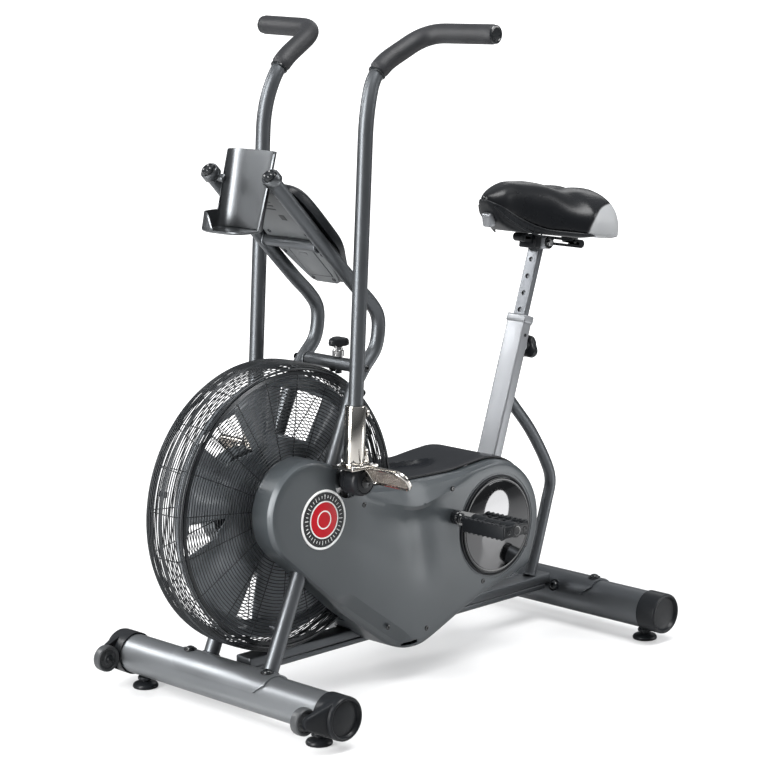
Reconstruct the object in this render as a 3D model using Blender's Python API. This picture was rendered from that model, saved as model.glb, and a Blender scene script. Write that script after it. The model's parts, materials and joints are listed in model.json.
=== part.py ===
"""Air bike: a fan-braked exercise bike whose two swinging arms and pedals share one drive.

Metres, +X forward, +Y to the rider's left, +Z up, origin on the floor under the middle of the bike.
"""

import math

import bmesh
import bpy
from mathutils import Matrix, Vector

# Overall layout
STAB_FRONT_X = 0.4165
STAB_REAR_X = -0.4985
STAB_Z = 0.062
STAB_R = 0.038
STAB_FRONT_HALF = 0.283
STAB_REAR_HALF = 0.266
FOOT_Y = 0.2445
CAP_LENGTH = 0.0335
WHEEL_HUB = Vector((0.485, 0.277, 0.0655))
FAN = Vector((0.2995, 0.0, 0.381))
GUARD_R = 0.2735
GUARD_FACE = 0.0515
CRANK = Vector((-0.1975, 0.0, 0.27))
CRANK_THROW = 0.13
CRANK_ANGLE = math.radians(18.0)
DISC_R = 0.096
PIVOT = Vector((0.204, 0.0, 0.432))
PIVOT_R = 0.008
STAY_FOOT = Vector((0.3825, 0.0, 0.103))
STAY_TOP = Vector((0.1615, 0.0, 0.6))
STAY_Y = 0.083
STAY_R = 0.015
FORK_R = 0.013
FORK_END = Vector((0.3645, 0.0, 1.006))
FORK_KNEE = Vector((0.1615, 0.0, 0.792))
ARM_Y = 0.138
ARM_R = 0.014
GRIP_R = 0.0182
SHROUD_FACE = 0.108
SHROUD_WALL = 0.003
BEAM_HALF = 0.02
BEAM_TOP = 0.104
BEAM_LOW = 0.084
MAST_MOUTH = Vector((-0.3885, 0.0, 0.652))
MAST_LEAN = math.radians(19.0)
MAST_HALF_X = 0.0125
MAST_HALF_Y = 0.024
POST_HALF_X = 0.007
POST_HALF_Y = 0.0155
SADDLE_TILT = math.radians(9.0)
SADDLE_ROOT = Vector((-0.4335, 0.0, 0.806))
BELT_Y = -0.061
DRIVE_R = 0.078
FAN_PULLEY_R = 0.026
ECCENTRIC = 0.018
GAP = 0.0003

LEFT, RIGHT = 1, -1
SIDES = (("L", LEFT), ("R", RIGHT))


def clear_scene():
    for obj in list(bpy.data.objects):
        bpy.data.objects.remove(obj, do_unlink=True)


def material(name, colour, roughness, metallic):
    made = bpy.data.materials.get(name)
    if made:
        return made
    made = bpy.data.materials.new(name)
    made.use_nodes = True
    shader = made.node_tree.nodes["Principled BSDF"]
    shader.inputs["Base Color"].default_value = (*colour, 1.0)
    shader.inputs["Roughness"].default_value = roughness
    shader.inputs["Metallic"].default_value = metallic
    return made


FRAME_GREY = ("frame_grey", (0.09, 0.095, 0.1), 0.35, 0.4)
SILVER_GREY = ("silver_grey", (0.28, 0.29, 0.3), 0.35, 0.5)
BLACK = ("black_plastic", (0.02, 0.02, 0.022), 0.5, 0.0)
SHROUD_GREY = ("shroud_grey", (0.12, 0.13, 0.14), 0.4, 0.0)
CHROME = ("chrome", (0.8, 0.8, 0.8), 0.1, 1.0)
STEEL = ("steel", (0.5, 0.5, 0.5), 0.3, 1.0)
ALUMINIUM = ("aluminium", (0.7, 0.71, 0.72), 0.3, 1.0)
RUBBER = ("rubber", (0.03, 0.03, 0.03), 0.8, 0.0)
FOAM = ("grip_foam", (0.03, 0.03, 0.03), 0.9, 0.0)
VINYL = ("vinyl", (0.02, 0.02, 0.022), 0.3, 0.0)
SCREEN = ("screen", (0.25, 0.3, 0.27), 0.15, 0.0)


def add(name, mesh_source, look, origin=(0.0, 0.0, 0.0)):
    """A named object from a bmesh in world space, with its own copy of the look and its origin moved."""
    origin = Vector(origin)
    bmesh.ops.remove_doubles(mesh_source, verts=mesh_source.verts, dist=1e-6)
    bmesh.ops.recalc_face_normals(mesh_source, faces=mesh_source.faces)
    bmesh.ops.translate(mesh_source, verts=mesh_source.verts, vec=-origin)
    mesh = bpy.data.meshes.new(name)
    mesh_source.to_mesh(mesh)
    mesh_source.free()
    mesh.materials.append(material(*look))
    obj = bpy.data.objects.new(name, mesh)
    obj.location = origin
    bpy.context.scene.collection.objects.link(obj)
    return obj


def helper(obj):
    obj.hide_render = True
    obj.display_type = "WIRE"
    return obj


def combine(obj, others, operation):
    for other in others:
        step = obj.modifiers.new(other.name, "BOOLEAN")
        step.operation = operation
        step.solver = "EXACT"
        step.object = helper(other)
    return obj


def cut(obj, *others):
    return combine(obj, others, "DIFFERENCE")


def join(obj, *others):
    return combine(obj, others, "UNION")


def lathe(points, centre, axis="Y", segments=16):
    """Solid of revolution about an axis through the centre; points are (radius, distance along)."""
    bm = bmesh.new()
    rings = []
    for radius, along in points:
        if radius < 1e-6:
            rings.append([bm.verts.new((0.0, 0.0, along))])
            continue
        ring = []
        for i in range(segments):
            angle = 2 * math.pi * i / segments
            ring.append(bm.verts.new((radius * math.cos(angle), radius * math.sin(angle), along)))
        rings.append(ring)
    closed = points[0][0] > 1e-6
    pairs = list(zip(rings, rings[1:]))
    if closed:
        pairs.append((rings[-1], rings[0]))
    for first, second in pairs:
        bridge(bm, first, second)
    turn = {"X": Matrix.Rotation(math.pi / 2, 4, "Y"), "Y": Matrix.Rotation(-math.pi / 2, 4, "X")}
    bmesh.ops.transform(bm, matrix=turn.get(axis, Matrix.Identity(4)), verts=bm.verts)
    bmesh.ops.translate(bm, verts=bm.verts, vec=Vector(centre))
    return bm


def bridge(bm, first, second):
    """Faces between two rings; a ring of one vertex is a pole."""
    if len(first) == 1 and len(second) == 1:
        return
    count = max(len(first), len(second))
    for i in range(count):
        j = (i + 1) % count
        if len(first) == 1:
            bm.faces.new((first[0], second[i], second[j]))
        elif len(second) == 1:
            bm.faces.new((first[i], first[j], second[0]))
        else:
            bm.faces.new((first[i], first[j], second[j], second[i]))


def washer(inner, outer, low, high):
    return [(inner, low), (outer, low), (outer, high), (inner, high)]


def rod(radius, low, high):
    return [(0.0, low), (radius, low), (radius, high), (0.0, high)]


def box(size, centre, turn_y=0.0):
    bm = bmesh.new()
    bmesh.ops.create_cube(bm, size=1.0)
    bmesh.ops.scale(bm, vec=Vector(size), verts=bm.verts)
    bmesh.ops.rotate(bm, matrix=Matrix.Rotation(turn_y, 3, "Y"), verts=bm.verts)
    bmesh.ops.translate(bm, verts=bm.verts, vec=Vector(centre))
    return bm


def prism(outline, low, high, inset=None):
    """Solid between y = low and y = high from an (x, z) outline; inset is (outline, y) of a chamfered end."""
    bm = bmesh.new()
    loops = [[bm.verts.new((x, low, z)) for x, z in outline]]
    loops.append([bm.verts.new((x, high, z)) for x, z in outline])
    if inset:
        loops.append([bm.verts.new((x, inset[1], z)) for x, z in inset[0]])
    for first, second in zip(loops, loops[1:]):
        bridge(bm, first, second)
    bm.faces.new(loops[0])
    bm.faces.new(loops[-1])
    return bm


def sweep(path, radius, wall=0.0, sides=10, first=0):
    """Round bar, or tube if a wall is given, along a path; it starts at the path's point number first."""
    path = [Vector(p) for p in path]
    bm = bmesh.new()
    skins = [radius, radius - wall] if wall else [radius]
    tangents = path_tangents(path)
    side = tangents[0].orthogonal().normalized()
    rings = {r: [] for r in skins}
    for number, (point, tangent) in enumerate(zip(path, tangents)):
        side = (side - tangent * side.dot(tangent)).normalized()
        other = tangent.cross(side)
        if number < first:
            continue
        for r in skins:
            ring = []
            for i in range(sides):
                angle = 2 * math.pi * i / sides
                ring.append(bm.verts.new(point + r * (math.cos(angle) * side + math.sin(angle) * other)))
            rings[r].append(ring)
    for r in skins:
        for ring, following in zip(rings[r], rings[r][1:]):
            bridge(bm, ring, following)
    for end in (0, -1):
        if wall:
            bridge(bm, rings[skins[0]][end], rings[skins[1]][end])
        else:
            bm.faces.new(rings[radius][end])
    return bm


def path_tangents(path):
    tangents = [(path[1] - path[0]).normalized()]
    for before, here, after in zip(path, path[1:], path[2:]):
        tangents.append(((here - before).normalized() + (after - here).normalized()).normalized())
    tangents.append((path[-1] - path[-2]).normalized())
    return tangents


def rounded(points, radius, steps=5):
    """The same path with each inner corner replaced by an arc-like curve."""
    points = [Vector(p) for p in points]
    made = [points[0]]
    for before, here, after in zip(points, points[1:], points[2:]):
        back = (before - here).normalized() * min(radius, (before - here).length * 0.45)
        ahead = (after - here).normalized() * min(radius, (after - here).length * 0.45)
        for i in range(steps + 1):
            t = i / steps
            made.append(here + back * (1 - t) ** 2 + ahead * t ** 2)
    made.append(points[-1])
    return made


def sheet(point, columns, rows, filled, thickness, name, look, closed=True):
    """Sheet of thickness built on a grid: point(i, j) gives its middle, filled(i, j) says if a cell is there."""
    bm = bmesh.new()
    width = columns if closed else columns + 1
    grid = [[bm.verts.new(point(i, j)) for j in range(rows + 1)] for i in range(width)]
    for i in range(columns):
        for j in range(rows):
            if filled(i, j):
                k = (i + 1) % width
                bm.faces.new((grid[i][j], grid[k][j], grid[k][j + 1], grid[i][j + 1]))
    loose = [v for v in bm.verts if not v.link_faces]
    bmesh.ops.delete(bm, geom=loose, context="VERTS")
    obj = add(name, bm, look)
    solid = obj.modifiers.new("thickness", "SOLIDIFY")
    solid.thickness = thickness
    solid.offset = 0.0
    return obj


def arc(centre, radius, start, end, steps):
    """(x, z) points on a circle, angles in degrees from +X towards +Z."""
    made = []
    for i in range(steps + 1):
        angle = math.radians(start + (end - start) * i / steps)
        made.append((centre[0] + radius * math.cos(angle), centre[1] + radius * math.sin(angle)))
    return made


def inset(outline, distance):
    """The outline moved inwards by a distance, for an outline that runs anticlockwise in (x, z)."""
    made = []
    count = len(outline)
    for i in range(count):
        here = Vector(outline[i])
        before = (here - Vector(outline[i - 1])).normalized()
        after = (Vector(outline[(i + 1) % count]) - here).normalized()
        normal = Vector((-before.y - after.y, before.x + after.x)).normalized()
        lean = max(0.5, normal.dot(Vector((-before.y, before.x))))
        made.append(tuple(here + normal * distance / lean))
    return made


def capsule(first, second, radius, steps=8):
    """(x, z) outline of a bar with round ends."""
    direction = math.degrees(math.atan2(second[1] - first[1], second[0] - first[0]))
    head = arc(second, radius, direction - 90, direction + 90, steps)
    return head + arc(first, radius, direction + 90, direction + 270, steps)


def flat(vector):
    return (vector.x, vector.z)


def along_y(low, high, side):
    return (low, high) if side > 0 else (-high, -low)


def at_y(vector, y):
    return Vector((vector.x, y, vector.z))


# Feet and stabilizers

def stabilizer(name, x, half, look):
    tube = add(name, lathe(washer(STAB_R - 0.003, STAB_R, -half, half), (x, 0, STAB_Z)), look)
    for label, side in SIDES:
        hole = add("cut_" + name + label, lathe(rod(0.0056, -0.045, 0.0), (x, side * FOOT_Y, STAB_Z), "Z", 12), look)
        cut(tube, hole)
    return tube


def hull(*rings):
    """Convex solid round some rings of points."""
    bm = bmesh.new()
    for ring in rings:
        for point in ring:
            bm.verts.new(point)
    made = bmesh.ops.convex_hull(bm, input=bm.verts)
    inner = [v for v in made["geom_interior"] + made["geom_unused"] if isinstance(v, bmesh.types.BMVert)]
    bmesh.ops.delete(bm, geom=list(set(inner)), context="VERTS")
    return bm


def circle(x, y, z, radius, steps):
    turn = 2 * math.pi / steps
    return [Vector((x + radius * math.cos(k * turn), y, z + radius * math.sin(k * turn))) for k in range(steps)]


def end_cap(name, x, half, side, wheel_arm):
    """Cup over the tube's end; the front ones taper forward into an arm that carries a wheel."""
    profile = [(0.0, half + 0.003), (STAB_R + GAP, half + 0.003), (STAB_R + GAP, half - 0.013), (0.0412, half - 0.013)]
    profile += [(0.0412, half + 0.029), (0.037, half + CAP_LENGTH), (0.0, half + 0.0285)]
    points = [(r, side * y) for r, y in profile]
    cap = add(name, lathe(points, (x, 0, STAB_Z)), BLACK)
    if wheel_arm:
        hub = WHEEL_HUB
        big = [circle(x, side * y, STAB_Z, 0.04, 24) for y in (half + 0.0095, half + 0.0275)]
        tip = [circle(hub.x, side * y, hub.z, 0.0135, 16) for y in (hub.y + 0.0112, hub.y + 0.0202)]
        join(cap, add("arm_" + name, hull(*big, *tip), BLACK))
        pin = [(0.0, hub.y - 0.0135), (0.008, hub.y - 0.0135), (0.008, hub.y - 0.0106), (0.004, hub.y - 0.0106)]
        pin += [(0.004, hub.y + 0.013), (0.0, hub.y + 0.013)]
        pin = lathe([(r, side * y) for r, y in pin], (hub.x, 0, hub.z), "Y", 12)
        join(cap, add("pin_" + name, pin, STEEL))
    return cap


def transport_wheel(name, side):
    centre = (WHEEL_HUB.x, side * WHEEL_HUB.y, WHEEL_HUB.z)
    profile = [(0.0045, -0.01), (0.012, -0.01), (0.0225, -0.009), (0.0255, -0.006)]
    profile += [(0.0255, 0.006), (0.0225, 0.009), (0.012, 0.01), (0.0045, 0.01)]
    return add(name, lathe(profile, centre, "Y", 16), BLACK, centre)


def levelling_foot(name, x, side):
    centre = (x, side * FOOT_Y, 0.0)
    profile = [(0.0, 0.0), (0.023, 0.0), (0.025, 0.003), (0.021, 0.01), (0.007, 0.013), (0.007, 0.0165)]
    profile += [(0.012, 0.0165), (0.012, 0.02), (0.005, 0.0203), (0.005, 0.05), (0.0, 0.05)]
    return add(name, lathe(profile, centre, "Z", 10), RUBBER, centre)


def saddle_plate(name, x, half, bolt_y):
    outer = arc((x, STAB_Z), STAB_R + 0.0036, 165, 15, 10)
    inner = arc((x, STAB_Z), STAB_R + 0.0008, 15, 165, 10)
    plate = add(name, prism(outer + inner, -half, half), SILVER_GREY)
    for label, side in SIDES:
        bolt = lathe(rod(0.009, 0.0405, 0.048), (x, side * bolt_y, STAB_Z), "Z", 12)
        join(plate, add("bolt_" + name + label, bolt, BLACK))
    return plate


def feet_and_stabilizers():
    stabilizer("front_stabilizer", STAB_FRONT_X, STAB_FRONT_HALF, SILVER_GREY)
    stabilizer("rear_stabilizer", STAB_REAR_X, STAB_REAR_HALF, FRAME_GREY)
    saddle_plate("front_saddle_plate", STAB_FRONT_X, 0.13, 0.108)
    saddle_plate("rear_saddle_plate", STAB_REAR_X, 0.124, 0.108)
    for label, side in SIDES:
        end_cap("front_cap_" + label, STAB_FRONT_X, STAB_FRONT_HALF, side, True)
        end_cap("rear_cap_" + label, STAB_REAR_X, STAB_REAR_HALF, side, False)
        transport_wheel("transport_wheel_" + label, side)
        levelling_foot("front_foot_" + label, STAB_FRONT_X, side)
        levelling_foot("rear_foot_" + label, STAB_REAR_X, side)


# Main frame

def base_beam():
    low, high = STAB_REAR_X + 0.0358, STAB_FRONT_X - 0.0358
    middle = ((low + high) / 2, 0, (BEAM_TOP + BEAM_LOW) / 2)
    size = Vector((high - low, 2 * BEAM_HALF, BEAM_TOP - BEAM_LOW))
    beam = add("base_beam", box(size, middle), FRAME_GREY)
    bore = add("cut_beam", box(size + Vector((0.02, -0.005, -0.005)), middle), FRAME_GREY)
    return cut(beam, bore)


def stay_direction():
    return (STAY_TOP - STAY_FOOT).normalized()


def stay_point(z):
    return STAY_FOOT + (STAY_TOP - STAY_FOOT) * (z - STAY_FOOT.z) / (STAY_TOP.z - STAY_FOOT.z)


def stay(name, side):
    y = side * STAY_Y
    low = at_y(stay_point(0.07), y)
    tube = add(name, sweep([low, at_y(STAY_TOP, y)], STAY_R, 0.0025, 12), FRAME_GREY)
    cope = lathe(rod(STAB_R + 0.0042, -0.2, 0.2), (STAB_FRONT_X, 0, STAB_Z), "Y", 32)
    cut(tube, add("cut_cope_" + name, cope, FRAME_GREY))
    outer, inner = along_y(0.0962, 0.1045, side), along_y(0.0605, 0.0698, side)
    pivot_arm = capsule(flat(stay_point(PIVOT.z)), flat(PIVOT), 0.0145, 6)
    axle_arm = capsule(flat(stay_point(FAN.z)), flat(FAN), 0.0145, 6)
    for label, outline, span in (("a", pivot_arm, outer), ("b", pivot_arm, inner), ("c", axle_arm, outer)):
        join(tube, add("lug_%s_%s" % (label, name), prism(outline, *span), FRAME_GREY))
    for z in (0.165, 0.585):
        spot = at_y(stay_point(z), 0)
        stud = lathe(rod(0.006, *along_y(GUARD_FACE + 0.0004, 0.0705, side)), spot, "Y", 12)
        join(tube, add("stud_%d_%s" % (z * 1000, name), stud, FRAME_GREY))
    bore = lathe(rod(STAY_R - 0.0025, -0.3, 0.3), (0, 0, 0), "Z", 12)
    bmesh.ops.rotate(bore, verts=bore.verts, matrix=Vector((0, 0, 1)).rotation_difference(
        stay_direction()).to_matrix())
    for label, centre, radius in (("p", PIVOT, PIVOT_R + GAP), ("f", FAN, PIVOT_R + GAP)):
        hole = lathe(rod(radius, *along_y(0.05, 0.11, side)), centre, "Y", 16)
        cut(tube, add("cut_%s_%s" % (label, name), hole, FRAME_GREY))
    bmesh.ops.translate(bore, verts=bore.verts, vec=at_y((STAY_TOP + STAY_FOOT) / 2, y))
    return cut(tube, add("cut_bore_" + name, bore, FRAME_GREY))


def mast_frame(centre_along, size):
    """A box in the leaning frame of the seat mast; centre_along is the distance above the mast's mouth."""
    up = Vector((-math.sin(MAST_LEAN), 0, math.cos(MAST_LEAN)))
    return box(size, MAST_MOUTH + up * centre_along, -MAST_LEAN)


def seat_mast():
    """Rectangular tube whose top, down to the pin, is lined to fit the post."""
    length = 0.574
    mast = add("seat_mast", mast_frame(-length / 2, (2 * MAST_HALF_X, 2 * MAST_HALF_Y, length)), ALUMINIUM)
    fit = (2 * POST_HALF_X + 2 * GAP, 2 * POST_HALF_Y + 2 * GAP, length + 0.02)
    wide = (2 * MAST_HALF_X - 0.004, 2 * MAST_HALF_Y - 0.004, length - 0.07)
    cut(mast, add("cut_mast", mast_frame(-length / 2, fit), ALUMINIUM))
    cut(mast, add("cut_mast_wide", mast_frame(-length / 2 - 0.05, wide), ALUMINIUM))
    hole = lathe(rod(0.0048, -0.03, -0.005), (0, 0, 0), "X", 12)
    return cut(mast, add("cut_pin", in_mast(hole, -0.055), ALUMINIUM))


def in_mast(bm, along):
    up = Vector((-math.sin(MAST_LEAN), 0, math.cos(MAST_LEAN)))
    bmesh.ops.rotate(bm, verts=bm.verts, matrix=Matrix.Rotation(-MAST_LEAN, 3, "Y"))
    bmesh.ops.translate(bm, verts=bm.verts, vec=MAST_MOUTH + up * along)
    return bm


def brace_tube():
    path = [(-0.335, 0, 0.51), (-0.3675, 0, 0.473), (-0.486, 0, 0.335), (-0.4815, 0, 0.28)]
    path += [(-0.4505, 0, 0.195), (-0.4100, 0, 0.08)]
    tube = add("brace_tube", sweep(rounded(path, 0.05, 2), 0.012, 0.002, 10), FRAME_GREY)
    mast = mast_frame(-0.2, (2 * MAST_HALF_X + 2 * GAP, 0.06, 0.6))
    floor = box((0.2, 0.1, 0.06), (-0.4, 0, BEAM_TOP + GAP - 0.03))
    return cut(tube, add("cut_brace_mast", mast, FRAME_GREY), add("cut_brace_beam", floor, FRAME_GREY))


def bottom_bracket():
    shell = add("crank_bracket", lathe(washer(0.0175, 0.024, -0.034, 0.034), CRANK), FRAME_GREY)
    lean = Vector((-math.cos(MAST_LEAN), 0, -math.sin(MAST_LEAN)))
    reach = (MAST_MOUTH - CRANK).dot(lean) - MAST_HALF_X - GAP
    lug = box((reach - 0.0205, 0.044, 0.034), CRANK + lean * (reach + 0.0205) / 2, -MAST_LEAN)
    join(shell, add("lug_crank", lug, FRAME_GREY))
    for label, side in SIDES:
        ring = lathe(washer(0.0103, 0.0172, *along_y(0.022, 0.032, side)), CRANK, "Y", 16)
        add("crank_bearing_" + label, ring, STEEL)


def main_frame():
    base_beam()
    seat_mast()
    brace_tube()
    bottom_bracket()
    for label, side in SIDES:
        stay("stay_" + label, side)


# Console fork, console and bottle holder

def fork_path(y):
    points = [(0.1600, 0.6035), (0.1080, 0.668), (0.0950, 0.722), flat(FORK_KNEE), flat(FORK_END)]
    return rounded([(x, y, z) for x, z in points], 0.034, 2)


def console_fork():
    sides = [sweep(fork_path(side * STAY_Y), FORK_R, 0.0025, 10) for _, side in SIDES]
    fork = add("console_fork", sides[0], FRAME_GREY)
    join(fork, add("fork_right", sides[1], FRAME_GREY))
    for label, x, z, r in (("low", 0.1385, 0.63, 0.0125), ("high", 0.2385, 0.868, 0.0105)):
        bar = lathe(rod(r, -STAY_Y + 0.0115, STAY_Y - 0.0115), (x, 0, z), "Y", 12)
        join(fork, add("fork_cross_" + label, bar, FRAME_GREY))
    for label, side in SIDES:
        ends = [at_y(stay_point(0.565), side * STAY_Y), at_y(stay_point(0.616), side * STAY_Y)]
        join(fork, add("fork_spigot_" + label, sweep(ends, 0.0118, 0.0, 10), FRAME_GREY))
    hole = lathe(rod(0.0054, -0.03, 0.03), (0.1385, 0.015, 0.63), "Z", 12)
    return cut(fork, add("cut_fork", hole, FRAME_GREY))


def fork_turn():
    run = (FORK_KNEE - FORK_END).normalized()
    return run, Vector((run.z, 0, -run.x))


def in_fork(bm):
    """From (distance down the fork, y, distance above the fork's plane) to the row frame."""
    run, above = fork_turn()
    for vert in bm.verts:
        vert.co = FORK_END + run * vert.co.x + above * vert.co.z + Vector((0, vert.co.y, 0))
    return bm


def console():
    section = [(-0.096, 0.0136), (-0.0685, 0.0136), (-0.0685, 0.0072), (0.0685, 0.0072)]
    section += [(0.0685, 0.0136), (0.096, 0.0136), (0.096, 0.036), (0.086, 0.043), (-0.086, 0.043), (-0.096, 0.036)]
    bm = bmesh.new()
    loops = []
    for along, width in ((0.05, 1.0), (0.225, 1.0), (0.31, 0.5)):
        loops.append([bm.verts.new((along, width * y, up)) for y, up in section])
    for first, second in zip(loops, loops[1:]):
        bridge(bm, first, second)
    bm.faces.new(loops[0])
    bm.faces.new(loops[-1])
    housing = add("console_housing", in_fork(bm), BLACK)
    pocket = add("cut_screen", in_fork(box((0.07, 0.12, 0.006), (0.115, 0, 0.0425))), BLACK)
    socket = add("cut_button", in_fork(box((0.0206, 0.0306, 0.01), (0.205, 0, 0.042))), BLACK)
    cut(housing, pocket, socket)
    add("console_screen", in_fork(box((0.0694, 0.1194, 0.0024), (0.115, 0, 0.0411))), SCREEN)
    run, above = fork_turn()
    origin = FORK_END + run * 0.205 + above * 0.042
    add("console_button", in_fork(box((0.02, 0.03, 0.006), (0.205, 0, 0.0425))), RUBBER, origin)


HOLDER_COLUMNS = 16


def holder_point(i, j):
    """Cup wall of the bottle holder: columns run round it, rows run from the floor's middle up the wall."""
    angle = 2 * math.pi * (i + 0.5) / HOLDER_COLUMNS
    scale = (0.12, 0.96, 1.0, 1.0, 1.0)[j]
    height = (0.0, 0.0, 0.006, 0.038, 0.146)[j]
    depth = 0.044 if math.cos(angle) > 0 else 0.03
    lean = math.tan(math.radians(14.0)) * height
    return Vector((0.382 + depth * scale * math.cos(angle) - lean, 0.06 * scale * math.sin(angle), 0.903 + height))


def holder_filled(i, j):
    angle = 2 * math.pi * (i + 1) / HOLDER_COLUMNS
    back = math.cos(angle) < -0.1
    return j < 3 or back


def bottle_holder():
    cup = sheet(holder_point, HOLDER_COLUMNS, 4, holder_filled, 0.003, "bottle_holder", SILVER_GREY)
    run, _ = fork_turn()
    for label, side in SIDES:
        ends = [at_y(FORK_END + run * 0.026, side * STAY_Y), at_y(FORK_END - run * 0.004, side * STAY_Y)]
        ear = add("ear_ring_" + label, sweep(ends, 0.0175, 0.0, 14), SILVER_GREY)
        web = box((0.014, 0.03, 0.02), (0.3490, side * 0.07, 0.9930), 0.75)
        join(cup, ear, add("ear_web_" + label, web, SILVER_GREY))
        bore = sweep([ends[0] + run * 0.01, at_y(FORK_END - run * 0.0005, side * STAY_Y)], FORK_R + 0.0006, 0.0, 14)
        cut(cup, add("cut_ear_" + label, bore, SILVER_GREY))
    return cup


def console_group():
    console_fork()
    console()
    bottle_holder()
    stem = [(0.0, -0.019), (0.008, -0.019), (0.008, -0.013), (0.005, -0.013), (0.005, 0.013), (0.009, 0.013)]
    stem += [(0.009, 0.032), (0.019, 0.036), (0.021, 0.046), (0.012, 0.05), (0.0, 0.05)]
    place = (0.1385, 0.015, 0.63)
    add("console_knob", lathe(stem, place, "Z", 14), BLACK, place)


# Fan, guard and drive

GUARD_COLUMNS = 24
GUARD_SOLID_ROWS = {0, 2, 4, 7}


def guard_profile():
    """(radius, distance from the middle) from the hub opening out over the shoulder to the middle seam."""
    face = [(r, GUARD_FACE - 0.0015) for r in (0.092, 0.101, 0.172, 0.18, 0.25)]
    return face + [(0.264, 0.044), (GUARD_R - 0.0015, 0.03), (GUARD_R - 0.0015, 0.011), (GUARD_R - 0.0015, 0.0018)]


def guard(name, side):
    profile = guard_profile()

    def point(i, j):
        angle = 2 * math.pi * i / GUARD_COLUMNS
        r, y = profile[j]
        return FAN + Vector((r * math.cos(angle), side * y, r * math.sin(angle)))

    return sheet(point, GUARD_COLUMNS, len(profile) - 1, lambda i, j: j in GUARD_SOLID_ROWS or i % 4 == 1,
                 0.0028, name, BLACK)


BLADES = 6


def rotor():
    radii = (0.0225, 0.08, 0.135, 0.225, 0.242, 0.246)
    per_blade = 6

    def point(i, j):
        angle = 2 * math.pi * i / (per_blade * BLADES)
        scoop = 0.024 * math.sin(2 * math.pi * (i % per_blade) / per_blade) if j in (2, 3) else 0.0
        lift = 0.016 if j == 5 else 0.0015
        return FAN + Vector((radii[j] * math.cos(angle), lift + scoop, radii[j] * math.sin(angle)))

    obj = sheet(point, per_blade * BLADES, 5, lambda i, j: j != 2 or i % per_blade not in (2, 5), 0.002,
                "fan_rotor", BLACK)
    obj.data.transform(Matrix.Translation(-FAN))
    obj.location = FAN
    return obj


def fan_hub():
    profile = [(PIVOT_R + GAP, 0.05), (0.0215, 0.05), (0.0215, 0.0), (0.045, 0.0), (0.045, -0.004)]
    profile += [(0.0215, -0.004), (0.0215, -0.0555), (FAN_PULLEY_R, -0.0555), (FAN_PULLEY_R, -0.0665)]
    profile += [(PIVOT_R + GAP, -0.0665)]
    return add("fan_hub", lathe(profile, FAN), ALUMINIUM, FAN)


def belt():
    middle_far = Vector((FAN.x, FAN.z))
    middle_near = Vector((CRANK.x, CRANK.z))
    apart = middle_far - middle_near
    heading = math.degrees(math.atan2(apart.y, apart.x))
    spread = math.degrees(math.acos((DRIVE_R - FAN_PULLEY_R) / apart.length))

    def loop(extra):
        far = arc(middle_far, FAN_PULLEY_R + extra, heading - spread, heading + spread, 10)
        return far + arc(middle_near, DRIVE_R + extra, heading + spread, heading + 360 - spread, 18)

    bm = bmesh.new()
    rings = []
    for extra, y in ((0.001, -0.0045), (0.0035, -0.0045), (0.0035, 0.0045), (0.001, 0.0045)):
        rings.append([bm.verts.new((x, BELT_Y + y, z)) for x, z in loop(extra)])
    for first, second in zip(rings, rings[1:] + rings[:1]):
        bridge(bm, first, second)
    return add("drive_belt", bm, RUBBER)


def crank_axle_and_discs():
    axle = add("crank_axle", lathe(rod(0.01, -0.1296, 0.1296), CRANK), STEEL, CRANK)
    for label, side in SIDES:
        pin = CRANK + Vector((0, 0, side * ECCENTRIC))
        web = prism(capsule(flat(CRANK), flat(pin), 0.0125, 5), *along_y(0.0765, 0.0845, side))
        stud = lathe(rod(0.005, *along_y(0.08, 0.0932, side)), pin, "Y", 12)
        join(axle, add("web_crank_" + label, web, STEEL), add("stud_crank_" + label, stud, STEEL))
    web = [(0.0103, -0.0695), (0.02, -0.0695), (0.02, -0.0665), (DRIVE_R, -0.0665), (DRIVE_R, -0.0555)]
    web += [(0.02, -0.0555), (0.02, -0.04), (0.0103, -0.04)]
    add("drive_pulley", lathe(web, CRANK, "Y", 24), ALUMINIUM, CRANK)
    for label, side in SIDES:
        disc = lathe(washer(0.0103, DISC_R, *along_y(0.1095, 0.1133, side)), CRANK, "Y", 28)
        add("crank_disc_" + label, disc, STEEL, CRANK)


def pedal_axis(side):
    offset = Vector((math.cos(CRANK_ANGLE), 0, math.sin(CRANK_ANGLE))) * CRANK_THROW
    return CRANK + offset if side > 0 else CRANK - offset


def crank_arm(name, side):
    outline = capsule(flat(CRANK), flat(pedal_axis(side)), 0.016)
    arm = add(name, prism(outline, *along_y(0.1136, 0.1296, side)), BLACK, CRANK)
    hole = lathe(rod(0.0103, *along_y(0.1, 0.14, side)), CRANK, "Y", 20)
    spindle = lathe(rod(0.0065, *along_y(0.12, 0.272, side)), pedal_axis(side), "Y", 16)
    cut(arm, add("cut_" + name, hole, BLACK))
    return join(arm, add("spindle_" + name, spindle, STEEL))


def pedal(name, side):
    centre = pedal_axis(side)
    low, high = along_y(0.165, 0.278, side)
    outline = [(-0.037, -0.008), (-0.03, -0.015), (0.03, -0.015), (0.037, -0.008)]
    outline += [(0.037, 0.008), (0.03, 0.015), (-0.03, 0.015), (-0.037, 0.008)]
    body = add(name, prism([(centre.x + x, centre.z + z) for x, z in outline], low, high), BLACK, centre)
    hole = lathe(rod(0.0069, low - 0.01, high + 0.01), centre, "Y", 20)
    return cut(body, add("cut_" + name, hole, BLACK))


def fan_and_drive():
    rotor()
    fan_hub()
    belt()
    add("fan_axle", lathe(rod(PIVOT_R, -0.104, 0.104), FAN), STEEL, FAN)
    crank_axle_and_discs()
    for label, side in SIDES:
        guard("guard_" + label, side)
        crank_arm("crank_arm_" + label, side)
        pedal("pedal_" + label, side)


# Shroud

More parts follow.
